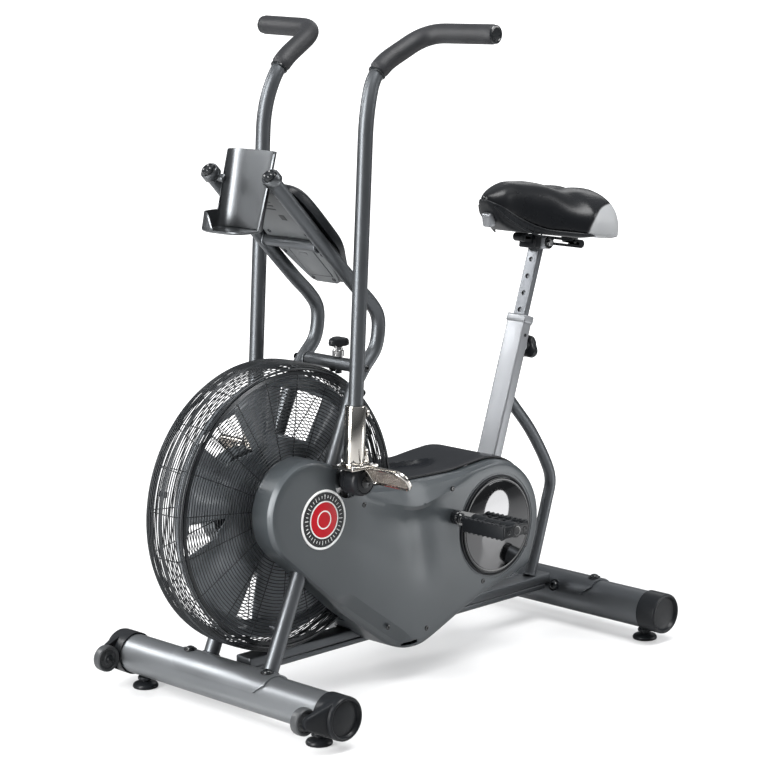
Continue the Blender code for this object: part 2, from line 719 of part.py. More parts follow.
def shroud_outline():
    dome = arc(flat(FAN), 0.1, -58, 100, 12)
    top = [(0.15, 0.402), (0.02, 0.394), (-0.1, 0.391)]
    rear = arc(flat(CRANK), 0.13, 88, 200, 8)
    low = [(-0.3, 0.168), (-0.1575, 0.133), (-0.0885, 0.106), (-0.0265, 0.08), (0.0135, 0.066)]
    low += [(0.0485, 0.066), (0.085, 0.079), (0.2045, 0.166)]
    return dome + top + rear + low


def shroud(name, side):
    outline = shroud_outline()
    face = side * SHROUD_FACE
    shell = add(name, prism(outline, side * 0.00015, side * 0.098, (inset(outline, 0.01), face)), SHROUD_GREY)
    hollow = inset(outline, SHROUD_WALL)
    deep = (inset(outline, 0.01 + SHROUD_WALL), side * (SHROUD_FACE - SHROUD_WALL))
    inner = prism(hollow, side * -0.01, side * (0.098 - 0.0012), deep)
    cage = lathe(rod(GUARD_R + 0.0035, -0.0545, 0.0545), FAN, "Y", 40)
    rim_gap = lathe(rod(0.047, *along_y(0.03, SHROUD_FACE - SHROUD_WALL, side)), PIVOT, "Y", 24)
    notch = lathe(rod(0.037, *along_y(0.095, 0.12, side)), PIVOT, "Y", 24)
    axle = lathe(rod(0.014, *along_y(0.09, 0.12, side)), CRANK, "Y", 20)
    stay_hole = sweep([at_y(stay_point(0.1), side * STAY_Y), at_y(stay_point(0.58), side * STAY_Y)], 0.0165, 0, 14)
    mast = mast_frame(-0.3, (2 * MAST_HALF_X + 0.001, 2 * MAST_HALF_Y + 0.001, 0.64))
    beam = box((1.0, 2 * BEAM_HALF + 0.001, BEAM_TOP - BEAM_LOW + 0.001), (0, 0, (BEAM_TOP + BEAM_LOW) / 2))
    tools = (inner, cage, rim_gap, notch, axle, stay_hole, mast, beam)
    for i, tool in enumerate(tools):
        cut(shell, add("cut%d_%s" % (i, name), tool, SHROUD_GREY))
    return shell


# Swinging arms

def arm_point(z):
    return Vector((0.2115 - 0.066 * (z - 0.6), ARM_Y, z))


def arm_path(side):
    corners = [arm_point(0.478), arm_point(1.108), (0.147, 0.129, 1.188), (0.03, 0.149, 1.2485)]
    corners.append((0.018, 0.31, 1.2505))
    smooth = rounded(corners, 0.045, 3)
    return [Vector((p.x, side * p.y, p.z)) for p in smooth]


def arm_tube_and_grip(label, side):
    """The sleeve follows the tube's own sections, so the two polygons stay parallel."""
    path = arm_path(side)
    add("arm_tube_" + label, sweep(path, ARM_R, 0.002, 10), FRAME_GREY, at_y(PIVOT, side * ARM_Y))
    start = next(i for i, p in enumerate(path) if p.z > 1.178)
    path[-1] = path[-1] + (path[-1] - path[-2]).normalized() * 0.002
    sleeve = sweep(path, GRIP_R, GRIP_R - ARM_R - GAP, 10, start)
    add("arm_grip_" + label, sleeve, FOAM, at_y(PIVOT, side * ARM_Y))


def peg_plate(side):
    """Foot rest: a D-shaped plate that slopes down and back, in its own frame then turned."""
    bm = bmesh.new()
    outline = [(0.1555, 0.0), (0.243, 0.0), (0.255, 0.006), (0.26, 0.017), (0.259, 0.036), (0.25, 0.046)]
    outline += [(0.1555, 0.046)]
    loops = []
    for lift in (0.0, 0.005):
        ring = []
        for y, down in outline:
            point = Vector((0.2125 - 0.6 * down - 0.8 * lift, side * y, 0.4655 - 0.8 * down + 0.6 * lift))
            ring.append(bm.verts.new(point))
        loops.append(ring)
    bridge(bm, loops[0], loops[1])
    bm.faces.new(loops[0])
    bm.faces.new(loops[1])
    return bm


def arm_base(label, side):
    origin = at_y(PIVOT, side * ARM_Y)
    low, high = arm_point(0.4640), arm_point(0.577)
    ends = [Vector((p.x, side * ARM_Y, p.z)) for p in (low, high)]
    socket = add("arm_base_" + label, sweep(ends, 0.0198, 0.0, 16), CHROME, origin)
    plate = box((0.066, 0.055, 0.006), (0.2175, side * 0.1395, 0.4635))
    gusset = prism([(0.2, 0.4655), (0.182, 0.4655), (0.193, 0.5), (0.2, 0.5)], *along_y(0.136, 0.14, side))
    join(socket, add("base_plate_" + label, plate, CHROME), add("gusset_" + label, gusset, CHROME),
         add("peg_" + label, peg_plate(side), CHROME))
    top = arm_point(0.6)
    bore_ends = [Vector((p.x, side * ARM_Y, p.z)) for p in (arm_point(0.4775), top)]
    return cut(socket, add("cut_socket_" + label, sweep(bore_ends, ARM_R + 0.0006, 0.0, 16), CHROME))


ROCKER_PIN = Vector((0.19, 0.0, 0.348))


def pivot_shaft(label, side):
    """Turns in the stay's two lugs: boot outside, shaft through, rocker lever inside the shroud."""
    origin = at_y(PIVOT, side * ARM_Y)
    boot = [(0.0, 0.0618), (PIVOT_R, 0.0618), (PIVOT_R, 0.1092), (0.027, 0.1112), (0.028, 0.148)]
    boot += [(0.022, 0.153), (0.0, 0.153)]
    shaft = add("pivot_shaft_" + label, lathe([(r, side * y) for r, y in boot], PIVOT, "Y", 16), BLACK, origin)
    hub = lathe(rod(0.0125, *along_y(0.0745, 0.0875, side)), PIVOT, "Y", 16)
    lever = prism(capsule(flat(PIVOT), flat(ROCKER_PIN), 0.0085, 5), *along_y(0.0775, 0.0845, side))
    pin = lathe(rod(0.0045, *along_y(0.0775, 0.094, side)), ROCKER_PIN, "Y", 12)
    return join(shaft, add("rocker_hub_" + label, hub, BLACK), add("rocker_" + label, lever, BLACK),
                add("rocker_pin_" + label, pin, BLACK))


def link_rod(label, side):
    """Push rod from the rocker to the crank; its rear eye stands clear of the crank."""
    span = along_y(0.0852, 0.0932, side)
    rear = (CRANK.x + 0.062, 0.291)
    rod_body = add("link_rod_" + label, prism(capsule(rear, flat(ROCKER_PIN), 0.011, 6), *span), STEEL,
                   at_y(ROCKER_PIN, side * 0.089))
    for tag, place, radius in (("a", ROCKER_PIN, 0.0049), ("b", Vector((rear[0], 0, rear[1])), 0.0053)):
        hole = lathe(rod(radius, *along_y(0.08, 0.1, side)), place, "Y", 12)
        cut(rod_body, add("cut_link_%s_%s" % (tag, label), hole, STEEL))
    return rod_body


def swinging_arms():
    for label, side in SIDES:
        arm_tube_and_grip(label, side)
        arm_base(label, side)
        pivot_shaft(label, side)
        link_rod(label, side)


# Seat

def in_saddle(bm):
    """From (forward, left, up) of the tilted saddle rail to the row frame."""
    bmesh.ops.rotate(bm, verts=bm.verts, matrix=Matrix.Rotation(-SADDLE_TILT, 3, "Y"))
    bmesh.ops.translate(bm, verts=bm.verts, vec=SADDLE_ROOT)
    return bm


def seat_post():
    top, low = 0.146, -0.2
    size = Vector((2 * POST_HALF_X, 2 * POST_HALF_Y, top - low))
    post = add("seat_post", mast_frame((top + low) / 2, size), ALUMINIUM, MAST_MOUTH)
    bore = mast_frame((top + low) / 2, size + Vector((-0.005, -0.005, -0.008)))
    vent = mast_frame(low, (0.01, 0.02, 0.03))
    cut(post, add("cut_post", bore, ALUMINIUM), add("cut_post_end", vent, ALUMINIUM))
    for i in range(5):
        hole = in_mast(lathe(rod(0.0045, -0.02, 0.02), (0, 0, 0), "X", 8), 0.12 - 0.035 * i)
        cut(post, add("cut_post_%d" % i, hole, ALUMINIUM))
    return post


def seat_clamp():
    up = Vector((-math.sin(MAST_LEAN), 0, math.cos(MAST_LEAN)))
    block = add("seat_clamp", in_saddle(box((0.046, 0.046, 0.028), (0, 0, -0.003))), ALUMINIUM, SADDLE_ROOT)
    slot = in_saddle(box((0.08, 0.0306, 0.0186), (0, 0, 0.002)))
    under = box((0.2, 0.2, 0.1), MAST_MOUTH + up * (0.1463 - 0.05), -MAST_LEAN)
    return cut(block, add("cut_clamp", slot, ALUMINIUM), add("cut_clamp_under", under, ALUMINIUM))


def saddle_section(t):
    """Half width, underside height and top height of the saddle at t from nose (0) to rear (1)."""
    half = 0.02 + 0.1 * min(1.0, max(0.0, (t - 0.12) / 0.55)) ** 1.5 + 0.012 * min(1.0, t / 0.12)
    if t > 0.8:
        half *= math.sqrt(max(0.0, 1 - ((t - 0.8) / 0.235) ** 2))
    low = 0.046 - 0.024 * min(1.0, t / 0.5)
    top = 0.072 + 0.038 * min(1.0, t / 0.3) - 0.03 * max(0.0, (t - 0.8) / 0.2) ** 2
    return half, low, top


def saddle_pad():
    bm = bmesh.new()
    rings = []
    stations = 10
    for i in range(stations + 1):
        t = i / stations
        half, low, top = saddle_section(t)
        forward = 0.172 - 0.3015 * t
        ring = []
        for k in range(12):
            angle = 2 * math.pi * k / 12
            y = half * math.copysign(abs(math.cos(angle)) ** 0.7, math.cos(angle))
            level = 0.5 + 0.5 * math.copysign(abs(math.sin(angle)) ** 0.8, math.sin(angle))
            ring.append(bm.verts.new((forward, y, low + (top - low) * level)))
        rings.append(ring)
    for first, second in zip(rings, rings[1:]):
        bridge(bm, first, second)
    bm.faces.new(rings[0])
    bm.faces.new(rings[-1])
    return add("saddle_pad", in_saddle(bm), VINYL, SADDLE_ROOT)


def saddle_base():
    """Moulded pan under the pad, cut to follow it."""
    bm = bmesh.new()
    rings = []
    stations = 8
    for i in range(stations + 1):
        t = 0.06 + 0.88 * i / stations
        half, low, _ = saddle_section(t)
        forward = 0.172 - 0.3015 * t
        depth = 0.011 + 0.012 * math.sin(math.pi * t)
        outline = [(0.8, -0.0012), (0.8, -0.006), (0.45, -depth), (-0.45, -depth), (-0.8, -0.006), (-0.8, -0.0012)]
        rings.append([bm.verts.new((forward, half * y, max(0.0122, low + z))) for y, z in outline])
    for first, second in zip(rings, rings[1:]):
        bridge(bm, first, second)
    bm.faces.new(rings[0])
    bm.faces.new(rings[-1])
    return add("saddle_base", in_saddle(bm), BLACK, SADDLE_ROOT)


def saddle_rail():
    rail = add("saddle_rail", in_saddle(box((0.195, 0.03, 0.018), (-0.0425, 0, 0.002))), BLACK, SADDLE_ROOT)
    return rail


def seat_knob():
    profile = [(0.0, -0.0075), (0.004, -0.0075), (0.004, -0.0132), (0.011, -0.0132), (0.011, -0.028)]
    profile += [(0.023, -0.032), (0.026, -0.04), (0.022, -0.052), (0.0, -0.055)]
    bm = in_mast(lathe(profile, (0, 0, 0), "X", 14), -0.055)
    up = Vector((-math.sin(MAST_LEAN), 0, math.cos(MAST_LEAN)))
    return add("seat_knob", bm, BLACK, MAST_MOUTH - up * 0.055)


def seat():
    seat_post()
    seat_clamp()
    saddle_pad()
    saddle_base()
    saddle_rail()
    seat_knob()


def build():
    clear_scene()
    feet_and_stabilizers()
    main_frame()
    console_group()
    fan_and_drive()
    for label, side in SIDES:
        shroud("shroud_" + label, side)
    swinging_arms()
    seat()


build()
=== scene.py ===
"""Looks of the air bike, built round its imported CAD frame. Metres, +X forward, +Y rider's left, +Z up."""

import json
import math

import bmesh
import bpy
import numpy as np
from mathutils import Matrix, Vector

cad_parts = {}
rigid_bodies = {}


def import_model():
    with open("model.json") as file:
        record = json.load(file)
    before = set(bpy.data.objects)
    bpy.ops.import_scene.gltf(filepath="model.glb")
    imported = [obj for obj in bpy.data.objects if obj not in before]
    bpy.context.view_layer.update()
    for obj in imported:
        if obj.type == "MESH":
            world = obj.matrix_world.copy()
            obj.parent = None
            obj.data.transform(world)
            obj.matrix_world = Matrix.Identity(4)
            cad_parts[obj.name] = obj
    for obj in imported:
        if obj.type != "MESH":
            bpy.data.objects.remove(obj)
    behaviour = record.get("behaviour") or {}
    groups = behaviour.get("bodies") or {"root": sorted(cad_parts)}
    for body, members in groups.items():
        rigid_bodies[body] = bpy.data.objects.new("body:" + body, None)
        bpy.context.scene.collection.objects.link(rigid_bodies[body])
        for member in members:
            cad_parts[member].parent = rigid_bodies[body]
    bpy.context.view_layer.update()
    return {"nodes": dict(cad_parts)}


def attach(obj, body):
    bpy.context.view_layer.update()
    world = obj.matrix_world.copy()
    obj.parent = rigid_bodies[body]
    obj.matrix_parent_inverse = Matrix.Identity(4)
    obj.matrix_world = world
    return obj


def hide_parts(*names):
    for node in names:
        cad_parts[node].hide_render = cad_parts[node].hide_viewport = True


for thing in list(bpy.data.objects):
    bpy.data.objects.remove(thing, do_unlink=True)

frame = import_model()

STAB_FRONT_X, STAB_REAR_X, STAB_Z, STAB_R = 0.4165, -0.4985, 0.062, 0.038
FOOT_Y, CAP_LENGTH = 0.2445, 0.0335
TUBE_HALF = {"front": 0.283, "rear": 0.266}
WHEEL_HUB = Vector((0.485, 0.277, 0.0655))
FAN = Vector((0.2995, 0.0, 0.381))
CRANK = Vector((-0.1975, 0.0, 0.27))
CRANK_THROW, CRANK_ANGLE = 0.13, math.radians(18.0)
PIVOT = Vector((0.204, 0.0, 0.432))
STAY_FOOT, STAY_TOP = Vector((0.3825, 0.0, 0.103)), Vector((0.1615, 0.0, 0.6))
STAY_Y, STAY_R, FORK_R = 0.083, 0.015, 0.0133
FORK_END, FORK_KNEE = Vector((0.3645, 0.0, 1.006)), Vector((0.1615, 0.0, 0.792))
ARM_Y, ARM_R, GRIP_R = 0.138, 0.0141, 0.0184
MAST_MOUTH = Vector((-0.3885, 0.0, 0.652))
MAST_LEAN = math.radians(19.0)
SADDLE_ROOT = Vector((-0.4335, 0.0, 0.806))
TILT = Matrix.Rotation(-math.radians(9.0), 3, "Y")
BEAM_TOP, BEAM_LOW = 0.104, 0.084
SIDES = (("L", 1), ("R", -1))
X, Y, Z = Vector((1, 0, 0)), Vector((0, 1, 0)), Vector((0, 0, 1))
MAST_TURN = Matrix.Rotation(-MAST_LEAN, 3, "Y")
MAST_UP, MAST_REAR = MAST_TURN @ Z, -(MAST_TURN @ X)
PIN_BASE = MAST_MOUTH - MAST_UP * 0.055
BADGE = Vector((0.2715, 0, 0.3655))
FACE_Y = 0.1082  # outer face of the shroud


# ---------------------------------------------------------------- materials

def new_material(name):
    made = bpy.data.materials.new(name)
    made.use_nodes = True
    tree = made.node_tree
    shader = tree.nodes["Principled BSDF"]
    coords = tree.nodes.new("ShaderNodeTexCoord")
    return made, tree, shader, coords.outputs["Object"]


def noise(tree, coords, scale, detail=3.0, stretch=None):
    source = coords
    if stretch:
        mapping = tree.nodes.new("ShaderNodeMapping")
        mapping.inputs["Scale"].default_value = stretch
        tree.links.new(coords, mapping.inputs["Vector"])
        source = mapping.outputs["Vector"]
    node = tree.nodes.new("ShaderNodeTexNoise")
    node.inputs["Scale"].default_value = scale
    node.inputs["Detail"].default_value = detail
    tree.links.new(source, node.inputs["Vector"])
    return node.outputs["Fac"]


def spread(tree, factor, low, high, start=0.3, end=0.7):
    node = tree.nodes.new("ShaderNodeMapRange")
    node.inputs["From Min"].default_value = start
    node.inputs["From Max"].default_value = end
    node.inputs["To Min"].default_value = low
    node.inputs["To Max"].default_value = high
    tree.links.new(factor, node.inputs["Value"])
    return node.outputs["Result"]


def blend_colours(tree, factor, first, second):
    node = tree.nodes.new("ShaderNodeMix")
    node.data_type = "RGBA"
    for socket, value in ((node.inputs[6], first), (node.inputs[7], second)):
        if isinstance(value, (tuple, list)):
            socket.default_value = (*value, 1.0)
        else:
            tree.links.new(value, socket)
    tree.links.new(factor, node.inputs[0])
    return node.outputs[2]


def bump(tree, height, strength, distance, before=None):
    node = tree.nodes.new("ShaderNodeBump")
    node.inputs["Strength"].default_value = strength
    node.inputs["Distance"].default_value = distance
    tree.links.new(height, node.inputs["Height"])
    if before:
        tree.links.new(before, node.inputs["Normal"])
    return node.outputs["Normal"]


def surface(name, colour, roughness, metallic=0.0, vary=0.12, patch=14.0, grain=500.0, relief=0.12, depth=0.0004,
            coat=0.0, wear=0.0, stretch=None, cells=0.0, spec=0.5, blotch=0.35):
    """A material with colour patches, a fine grain in relief, uneven roughness and paler worn edges."""
    made, tree, shader, coords = new_material(name)
    dark = tuple(c * (1 - vary) for c in colour)
    light = tuple(min(1.0, c * (1 + vary)) for c in colour)
    patches = spread(tree, noise(tree, coords, patch, 4.0), 0.0, 1.0)
    base = blend_colours(tree, patches, dark, light)
    fine = noise(tree, coords, grain, 3.0, stretch)
    speck = blend_colours(tree, spread(tree, fine, 0.0, blotch, 0.45, 0.75), base, light)
    if wear:
        edge = tree.nodes.new("ShaderNodeNewGeometry").outputs["Pointiness"]
        bare = tuple(min(1.0, c * 1.8 + 0.06) for c in colour)
        speck = blend_colours(tree, spread(tree, edge, 0.0, wear, 0.52, 0.6), speck, bare)
    tree.links.new(speck, shader.inputs["Base Color"])
    smear = noise(tree, coords, patch * 2.3, 2.0, stretch)
    rough = spread(tree, smear, max(0.02, roughness * 0.94), min(1.0, roughness * 1.07))
    tree.links.new(rough, shader.inputs["Roughness"])
    normal = bump(tree, fine, relief, depth)
    if cells:
        grid = tree.nodes.new("ShaderNodeTexVoronoi")
        grid.inputs["Scale"].default_value = cells
        tree.links.new(coords, grid.inputs["Vector"])
        normal = bump(tree, grid.outputs["Distance"], relief, depth * 1.5, normal)
    tree.links.new(normal, shader.inputs["Normal"])
    shader.inputs["Metallic"].default_value = metallic
    shader.inputs["Coat Weight"].default_value = coat
    shader.inputs["Coat Roughness"].default_value = 0.12
    shader.inputs["Specular IOR Level"].default_value = spec
    return made


FRAME_GREY = surface("charcoal_metallic_paint", (0.086, 0.0915, 0.0975), 0.42, 0.9, 0.05, 6.0, 3000.0, 0.02, 0.0001, 0.0,
                     0.12)
SILVER_GREY = surface("silver_grey_metallic_paint", (0.15, 0.158, 0.165), 0.4, 0.8, 0.05, 5.0, 3000.0, 0.02, 0.0001,
                      0.0, 0.12)
HOLDER = surface("holder_metallic_paint", (0.1, 0.105, 0.11), 0.33, 0.95, 0.05, 5.0, 3000.0, 0.02, 0.0001, 0.0, 0.12)
BLACK = surface("black_moulded_plastic", (0.010, 0.011, 0.0125), 0.34, 0.0, 0.15, 20.0, 900.0, 0.25, 0.0003, spec=0.16)
GLOSS_BLACK = surface("gloss_black_plastic", (0.008, 0.009, 0.010), 0.16, 0.0, 0.1, 20.0, 500.0, 0.03, 0.0002, 0.15,
                      spec=0.3)
WIRE = surface("black_coated_wire", (0.016, 0.018, 0.020), 0.34, 0.35, 0.2, 30.0, 900.0, 0.1, 0.0002, 0.1, spec=0.4)
ROTOR = surface("rotor_grey_plastic", (0.15, 0.163, 0.175), 0.34, 0.1, 0.1, 12.0, 700.0, 0.12, 0.0003, 0.1, spec=0.4)
SHROUD = surface("slate_satin_plastic", (0.053, 0.06, 0.065), 0.36, 0.25, 0.05, 3.0, 1300.0, 0.1, 0.00025, 0.08, 0.0,
                 spec=0.4)
STRIP = surface("dark_gloss_cover", (0.008, 0.009, 0.011), 0.32, 0.0, 0.08, 4.0, 700.0, 0.04, 0.0002, 0.0, spec=0.1)
CHROME = surface("chrome_plate", (0.5, 0.475, 0.44), 0.13, 1.0, 0.06, 18.0, 900.0, 0.05, 0.0002)
STEEL = surface("turned_steel", (0.42, 0.42, 0.42), 0.28, 1.0, 0.1, 30.0, 600.0, 0.1, 0.0002)
ALUMINIUM = surface("satin_aluminium", (0.16, 0.167, 0.178), 0.42, 1.0, 0.05, 8.0, 900.0, 0.1, 0.0002,
                    stretch=(1.0, 1.0, 0.08))
MAST_PAINT = surface("mast_silver_paint", (0.225, 0.232, 0.243), 0.45, 0.8, 0.04, 8.0, 3000.0, 0.02, 0.0001, 0.0, 0.1)
RUBBER = surface("rubber", (0.012, 0.012, 0.013), 0.6, 0.0, 0.15, 30.0, 900.0, 0.4, 0.0004, spec=0.2)
FOAM = surface("closed_cell_foam", (0.012, 0.0125, 0.014), 0.5, 0.0, 0.2, 25.0, 1100.0, 0.35, 0.0004, cells=900.0, spec=0.32)
ROLLER = surface("grey_roller_plastic", (0.04, 0.042, 0.044), 0.4, 0.0, 0.08, 20.0, 900.0, 0.2, 0.0003, spec=0.3)
MIRROR = surface("smoked_mirror", (0.125, 0.125, 0.127), 0.05, 1.0, 0.03, 6.0, 300.0, 0.01, 0.0001)
SCREEN = surface("display_window", (0.10, 0.125, 0.11), 0.12, 0.0, 0.06, 20.0, 600.0, 0.02, 0.0001, 0.5)
PANEL_GREY = surface("grey_moulded_underside", (0.085, 0.09, 0.093), 0.42, 0.0, 0.06, 10.0, 900.0, 0.25, 0.0003,
                     spec=0.35)
RED = surface("enamel_red", (0.42, 0.004, 0.012), 0.3, 0.0, 0.08, 40.0, 900.0, 0.04, 0.0001, 0.0, spec=0.15)
WHITE_PRINT = surface("pale_enamel", (0.75, 0.75, 0.74), 0.3, 0.0, 0.04, 40.0, 900.0, 0.04, 0.0001, 0.3)
TREAD = surface("pressed_tread_steel", (0.34, 0.31, 0.28), 0.36, 1.0, 0.2, 60.0, 300.0, 0.8, 0.0012, cells=240.0)


# ---------------------------------------------------------------- mesh helpers

def finish_bm(bm, sharp=35.0):
    bmesh.ops.remove_doubles(bm, verts=bm.verts, dist=1e-6)
    bmesh.ops.recalc_face_normals(bm, faces=bm.faces)
    for face in bm.faces:
        face.smooth = True
    if sharp:
        limit = math.radians(sharp)
        for edge in bm.edges:
            if len(edge.link_faces) == 2 and edge.calc_face_angle(0.0) > limit:
                edge.smooth = False
    return bm


def piece(name, bm, look, body, stands_for=(), bevel=0.0, rounds=2, sharp=35.0, subdivide=0):
    finish_bm(bm, 0.0 if bevel or subdivide else sharp)
    mesh = bpy.data.meshes.new(name)
    bm.to_mesh(mesh)
    bm.free()
    obj = bpy.data.objects.new(name, mesh)
    bpy.context.scene.collection.objects.link(obj)
    mesh.materials.append(look)
    if bevel:
        step = obj.modifiers.new("rounded edges", "BEVEL")
        step.width = bevel
        step.segments = rounds
        step.limit_method = "ANGLE"
        step.angle_limit = math.radians(32)
        step.harden_normals = True
        step.use_clamp_overlap = True
    if subdivide:
        step = obj.modifiers.new("smooth", "SUBSURF")
        step.levels = subdivide
        step.render_levels = subdivide
    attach(obj, body)
    if stands_for:
        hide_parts(*stands_for)
    return obj


def merge(*parts):
    """One bmesh holding all the given ones."""
    whole = bmesh.new()
    for part in parts:
        mesh = bpy.data.meshes.new("part")
        part.to_mesh(mesh)
        part.free()
        whole.from_mesh(mesh)
        bpy.data.meshes.remove(mesh)
    return whole


def bridge(bm, first, second, loop=True):
    if len(first) == 1 and len(second) == 1:
        return
    count = max(len(first), len(second))
    for i in range(count if loop else count - 1):
        j = (i + 1) % count
        if len(first) == 1:
            bm.faces.new((first[0], second[i], second[j]))
        elif len(second) == 1:
            bm.faces.new((first[i], first[j], second[0]))
        else:
            bm.faces.new((first[i], first[j], second[j], second[i]))


def skin(bm, loops, loop=True, caps=False):
    """Faces between each two neighbouring loops and, if asked, over the end ones."""
    for first, second in zip(loops, loops[1:]):
        bridge(bm, first, second, loop)
    if caps:
        bm.faces.new(loops[0])
        bm.faces.new(loops[-1])


def sheet(bm, inner, outer):
    """Closed sheet between two grids of points, each a list of rows."""
    for grid in (inner, outer):
        skin(bm, grid, loop=False)
    for end in (0, -1):
        bridge(bm, inner[end], outer[end], loop=False)
        bridge(bm, [row[end] for row in inner], [row[end] for row in outer], loop=False)


def lathe(points, centre=(0, 0, 0), axis=Y, segments=48, close=True, lobes=None):
    """Solid of revolution: points are (radius, distance along axis); lobes(angle) scales the radius."""
    bm = bmesh.new()
    rings = []
    for radius, along in points:
        if radius < 1e-6:
            rings.append([bm.verts.new((0.0, 0.0, along))])
            continue
        ring = []
        for i in range(segments):
            angle = 2 * math.pi * i / segments
            r = radius * (lobes(angle) if lobes else 1.0)
            ring.append(bm.verts.new((r * math.cos(angle), r * math.sin(angle), along)))
        rings.append(ring)
    skin(bm, rings)
    if close and points[0][0] > 1e-6 and points[-1][0] > 1e-6:
        bridge(bm, rings[-1], rings[0])
    turn = Z.rotation_difference(Vector(axis)).to_matrix().to_4x4()
    bmesh.ops.transform(bm, matrix=Matrix.Translation(Vector(centre)) @ turn, verts=bm.verts)
    return bm


def rounded_rod(radius, low, high, edge=0.001, steps=3):
    """Profile of a rod with rounded rims."""
    points = [(0.0, low)]
    for i in range(steps + 1):
        a = math.pi / 2 * i / steps
        points.append((radius - edge + edge * math.sin(a), low + edge - edge * math.cos(a)))
    for i in range(steps + 1):
        a = math.pi / 2 * i / steps
        points.append((radius - edge + edge * math.cos(a), high - edge + edge * math.sin(a)))
    points.append((0.0, high))
    return points


def tangents_of(path):
    made = [(path[1] - path[0]).normalized()]
    for before, here, after in zip(path, path[1:], path[2:]):
        made.append(((here - before).normalized() + (after - here).normalized()).normalized())
    made.append((path[-1] - path[-2]).normalized())
    return made


def tube(path, radius, segments=28, bore=0.0, closed=False, start_side=None, radii=None):
    """Round tube along a path; with a bore its ends are open rims, otherwise flat caps."""
    path = [Vector(p) for p in path]
    bm = bmesh.new()
    if closed:
        tangents = []
        for i in range(len(path)):
            tangents.append((path[(i + 1) % len(path)] - path[i - 1]).normalized())
    else:
        tangents = tangents_of(path)
    side = Vector(start_side) if start_side else tangents[0].orthogonal().normalized()
    skins = []
    for kind in (0, 1) if bore else (0,):
        rings = []
        here_side = side
        for k, (point, tangent) in enumerate(zip(path, tangents)):
            here_side = (here_side - tangent * here_side.dot(tangent)).normalized()
            other = tangent.cross(here_side)
            size = bore if kind else (radii[k] if radii else radius)
            ring = []
            for i in range(segments):
                angle = 2 * math.pi * i / segments
                ring.append(bm.verts.new(point + size * (math.cos(angle) * here_side + math.sin(angle) * other)))
            rings.append(ring)
        skin(bm, rings)
        if closed:
            bridge(bm, rings[-1], rings[0])
        skins.append(rings)
    if closed:
        return bm
    for end in (0, -1):
        if bore:
            bridge(bm, skins[0][end], skins[1][end])
        else:
            bm.faces.new(skins[0][end])
    return bm


def rounded(points, radius, steps=8):
    """Path with inner corners replaced by even curves."""
    points = [Vector(p) for p in points]
    made = [points[0]]
    for before, here, after in zip(points, points[1:], points[2:]):
        back = (before - here).normalized() * min(radius, (before - here).length * 0.47)
        ahead = (after - here).normalized() * min(radius, (after - here).length * 0.47)
        for i in range(steps + 1):
            t = i / steps
            made.append(here + back * (1 - t) ** 2 + ahead * t ** 2)
    made.append(points[-1])
    return made


def block(size, centre, turn=None, bevel=0.002, rounds=3):
    """Box with every edge rounded."""
    bm = bmesh.new()
    bmesh.ops.create_cube(bm, size=1.0)
    bmesh.ops.scale(bm, vec=Vector(size), verts=bm.verts)
    if bevel:
        bmesh.ops.bevel(bm, geom=list(bm.edges), offset=bevel, segments=rounds, affect="EDGES", profile=0.5)
    if turn is not None:
        bmesh.ops.rotate(bm, matrix=turn, verts=bm.verts)
    bmesh.ops.translate(bm, verts=bm.verts, vec=Vector(centre))
    return bm


def prism(outline, low, high, bevel=0.0, rounds=2):
    """Solid between y = low and y = high from an (x, z) outline, its rims rounded."""
    bm = bmesh.new()
    loops = []
    for y in (low, high):
        loops.append([bm.verts.new((x, y, z)) for x, z in outline])
    bridge(bm, loops[0], loops[1])
    caps = [bm.faces.new(loops[0]), bm.faces.new(loops[1])]
    if bevel:
        rims = {edge for cap in caps for edge in cap.edges}
        bmesh.ops.bevel(bm, geom=list(rims), offset=bevel, segments=rounds, affect="EDGES", profile=0.5)
    return bm


def arc(centre, radius, start, end, steps):
    made = []
    for i in range(steps + 1):
        angle = math.radians(start + (end - start) * i / steps)
        made.append((centre[0] + radius * math.cos(angle), centre[1] + radius * math.sin(angle)))
    return made


def capsule(first, second, radius, steps=14, end_radius=None):
    direction = math.degrees(math.atan2(second[1] - first[1], second[0] - first[0]))
    tip = radius if end_radius is None else end_radius
    head = arc(second, tip, direction - 90, direction + 90, steps)
    return head + arc(first, radius, direction + 90, direction + 270, steps)


def flat(v):
    return (v.x, v.z)


def turned(points, side):
    return [(r, side * y) for r, y in points]


def spun(points, side, centre, segments):
    """Solid of revolution about an axle, its profile (radius, distance out) on the given side."""
    return lathe(turned(points, side), centre, Y, segments)


def spoke(angle):
    """Unit vector in the side plane, from forward towards up."""
    return Vector((math.cos(angle), 0, math.sin(angle)))


def spoke_turn(out):
    return Matrix((out, Y, out.cross(Y))).transposed()


def at_y(v, y):
    return Vector((v.x, y, v.z))


def stay_point(z):
    return STAY_FOOT + (STAY_TOP - STAY_FOOT) * (z - STAY_FOOT.z) / (STAY_TOP.z - STAY_FOOT.z)


def in_frame(bm, origin, matrix):
    bmesh.ops.transform(bm, matrix=Matrix.Translation(Vector(origin)) @ matrix.to_4x4(), verts=bm.verts)
    return bm


